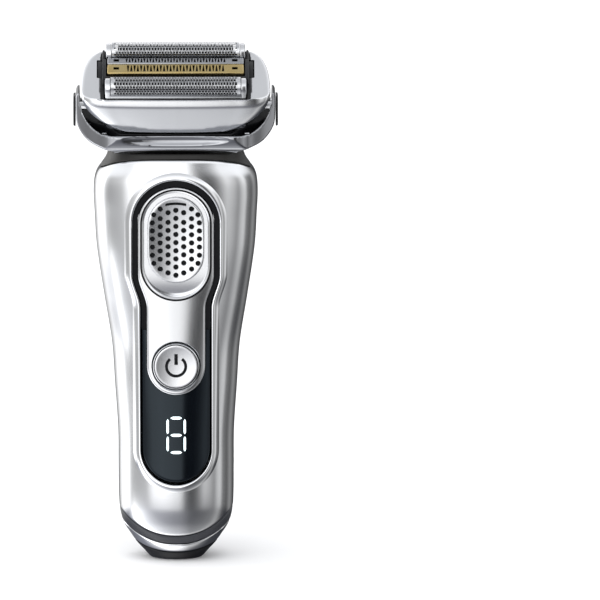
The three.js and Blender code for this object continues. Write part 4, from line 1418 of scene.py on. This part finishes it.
def add_cell(sheet, ring):
    """The rim of one six-sided cell round its hole."""
    cx = sum(p[0] for p in ring) / 6
    cs = sum(p[1] for p in ring) / 6
    hole = [(cx + (x - cx) * CELL["open_x"], cs + (s - cs) * CELL["open_s"]) for x, s in ring]
    for i in range(6):
        n = (i + 1) % 6
        sheet.face(ring[i], ring[n], hole[n], hole[i])


def add_cells(sheet, marks, columns):
    """The staggered rows of cells, and the plain half cells that fill every other row's ends."""
    def corner(j, k):
        return cell_corner(marks, columns, j, k)

    for j in range(len(marks) - 1):
        for k in range((j % 2), columns - 1, 2):
            add_cell(sheet, [corner(j, k), corner(j, k + 1), corner(j, k + 2),
                             corner(j + 1, k + 2), corner(j + 1, k + 1), corner(j + 1, k)])
        if j % 2:
            for k in (0, columns - 1):
                sheet.face(corner(j, k), corner(j, k + 1), corner(j + 1, k + 1), corner(j + 1, k))


def add_borders(sheet, marks, columns, foil_half):
    """Plain strips at both ends and along both feet of the sheet."""
    reach = FOIL_RADIUS * pi / 2 + FOIL_CENTRE_N - FOIL_FOOT_N
    edge_x = columns / 4 * CELL["pitch"]
    for side in (-1, 1):
        for a, b in zip(marks, marks[1:]):
            sheet.face((side * edge_x, a), (side * foil_half, a), (side * foil_half, b), (side * edge_x, b))
    line = [-foil_half] + [column_x(k, columns) for k in range(columns + 1)] + [foil_half]
    for inner, outer in ((marks[0], -reach), (marks[-1], reach)):
        for a, b in zip(line, line[1:]):
            sheet.face((a, inner), (b, inner), (b, outer), (a, outer))


def perforated_foil(d, foil_half):
    """A thin arched sheet with staggered six-sided holes and plain borders."""
    columns = int(2 * (foil_half - 0.6) / CELL["pitch"]) * 2
    marks = foil_rows()
    sheet = Sheet(d)
    add_cells(sheet, marks, columns)
    add_borders(sheet, marks, columns, foil_half)
    foil = blank(sheet.vertices, sheet.faces)
    solid = foil.modifiers.new("thickness", "SOLIDIFY")
    solid.thickness = 0.1
    solid.offset = -1
    return apply_modifiers(foil)


def arch_outline(d, radius, centre_n, foot_n, steps=24):
    return [(d + radius, foot_n)] + arc((d, centre_n), radius, 0, 180, steps) + [(d - radius, foot_n)]


def make_foil_unit(name, d, half):
    """A foil in its frame: two arched end caps, two rails, and on the front one a ledge below the holes."""
    body = {"front": "foil_f", "rear": "foil_r"}[name]
    inner = half - FOIL_CAP
    skin(perforated_foil(d, inner - 0.1), f"{name}_foil", body, FOIL, 50)
    parts = []
    for side in (-1, 1):
        rings = []
        steps = ((0.35, inner), (0.0, inner + 0.12), (0.0, half - 0.5), (0.12, half - 0.15), (0.45, half))
        for inset, x in steps:
            outline = arch_outline(d, FOIL_RADIUS + 0.1 - inset, FOIL_CENTRE_N - 0.6, 9.2 + inset * 0.2)
            rings.append([(side * x, y, z) for y, z in outline])
        parts.append(loft(rings))
    for y0, y1 in ((d - 3, d - 2.2), (d + 2.2, d + 3)):
        parts.append(rounded_box(-inner - 0.1, inner + 0.1, y0, y1, 9.2, 11.15, 0.12))
    skin(gather(parts), f"{name}_foil_frame", body, SILVER)
    if name == "front":
        ledge = rounded_box(-inner - 0.3, inner + 0.3, d - 3.26, d - 2.93, 14.5, 15.7, 0.1)
        piece(ledge, "front_foil_ledge", body, COMB_STEEL)
    make_cutter(name, d)


def make_cutter(name, d):
    """A row of thin arched blades on a moulded spine."""
    body = {"front": "cutter_f", "rear": "cutter_r"}[name]
    pitch, half = 1.15, 18.4
    count = int(2 * half / pitch)
    blades = []
    for i in range(count + 1):
        x = -half + i * 2 * half / count
        blades.append(prism(arch_outline(d, 2.35, FOIL_CENTRE_N, 14.0, 16), "x", x - 0.16, x + 0.16))
    piece(gather(blades), f"{name}_cutter_blades", body, CUTTER_STEEL, [f"{name}_cutter"])
    spine = combine(prism(arch_outline(d, 1.9, FOIL_CENTRE_N, 9.3), "x", -18.5, 18.5),
                    [rounded_box(-1.3, 1.3, d - 1.3, d + 1.3, 5, 13.4, 0.2)])
    piece(spine, f"{name}_cutter_spine", body, BLACK)


def trimmer_slots(middle, reach, slot_x, top_n):
    """Slots that are wide at the front and at the back in turn, and a longer one at each end."""
    slots = []
    count = int(32.4 / slot_x)
    wide, thin = slot_x * 0.38, slot_x * 0.13
    for i in range(count):
        x = (i - (count - 1) / 2) * slot_x
        w0, w1 = (wide, thin) if i % 2 else (thin, wide)
        outline = [(x - w0, middle - reach), (x + w0, middle - reach), (x + w1, middle + reach),
                   (x - w1, middle + reach)]
        slots.append(prism(outline, "z", top_n - 1.5, top_n + 1))
    for side in (-1, 1):
        slots.append(rounded_box(*span(side, 18.1, 19.9), middle - 0.6, middle + 0.6,
                                 top_n - 1.5, top_n + 1, 0.1))
    return slots


def make_trimmer(name, d0, d1, top_n, slot_x, border, material):
    """A comb cap, which is a rounded hollow bar with a row of slots, and the toothed blade inside it."""
    half = 21.9
    comb = rounded_box(-half, half, d0, d1, 9.2, top_n, 0.5, 3)
    inside = rounded_box(-half + 1.5, half - 1.5, d0 + 0.7, d1 - 0.7, 0, top_n - 0.6, 0.3)
    slots = trimmer_slots((d0 + d1) / 2, (d1 - d0) / 2 - border, slot_x, top_n)
    combine(comb, [inside, gather(slots)])
    skin(comb, f"{name}_trimmer", f"{name}_element", material)
    blade = rounded_box(-18, 18, d0 + 1, d1 - 1, 13.5, top_n - 0.95, 0.15)
    gaps = [rounded_box(-18 + 1.5 * i - 0.35, -18 + 1.5 * i + 0.35, d0, d1, top_n - 2, top_n, 0.1)
            for i in range(1, 24)]
    combine(blade, [gather(gaps)])
    skin(blade, f"{name}_blade", f"{name}_cutting_blade", BLADE_STEEL)


# ---------------------------------------------------------------- carried-over nodes

CARRIED = {
    "charge_pin_left": STEEL, "charge_pin_right": STEEL, "base_screw_front": STEEL, "base_screw_rear": STEEL,
    "lock_rod": BLACK, "button_switch": STEEL, "display_module": BLACK, "main_board": BOARD,
    "inner_chassis": GREY, "battery_cell": SLEEVE, "pivot_pin_left": STEEL, "pivot_pin_right": STEEL,
    "motor_core": IRON, "motor_coil": WINDING, "mover_front": IRON, "mover_rear": IRON,
    "drive_pin_front": STEEL, "drive_pin_rear": STEEL,
}


def dress_nodes():
    for name, material in CARRIED.items():
        mesh = frame["nodes"][name].data
        mesh.materials.clear()
        mesh.materials.append(material)


# ---------------------------------------------------------------- everything

make_camera()
make_floor()
make_world()
make_lights()
make_front_shell()
make_rear_shell()
make_base()
make_bezel()
make_lens()
make_control_plate()
make_slider()
make_button()
make_digit()
make_neck()
make_yoke()
make_arm_covers()
make_grip()
make_long_hair_trimmer()
make_carrier()
make_cassette()
for foil_name, (foil_d, foil_half) in FOILS.items():
    make_foil_unit(foil_name, foil_d, foil_half)
make_trimmer("gold", -3.8, 0.8, 17.4, 1.05, 0.75, GOLD)
make_trimmer("silver", 1.2, 4.4, 17.2, 0.95, 0.6, COMB_STEEL)
dress_nodes()

scene.view_settings.view_transform = "Standard"
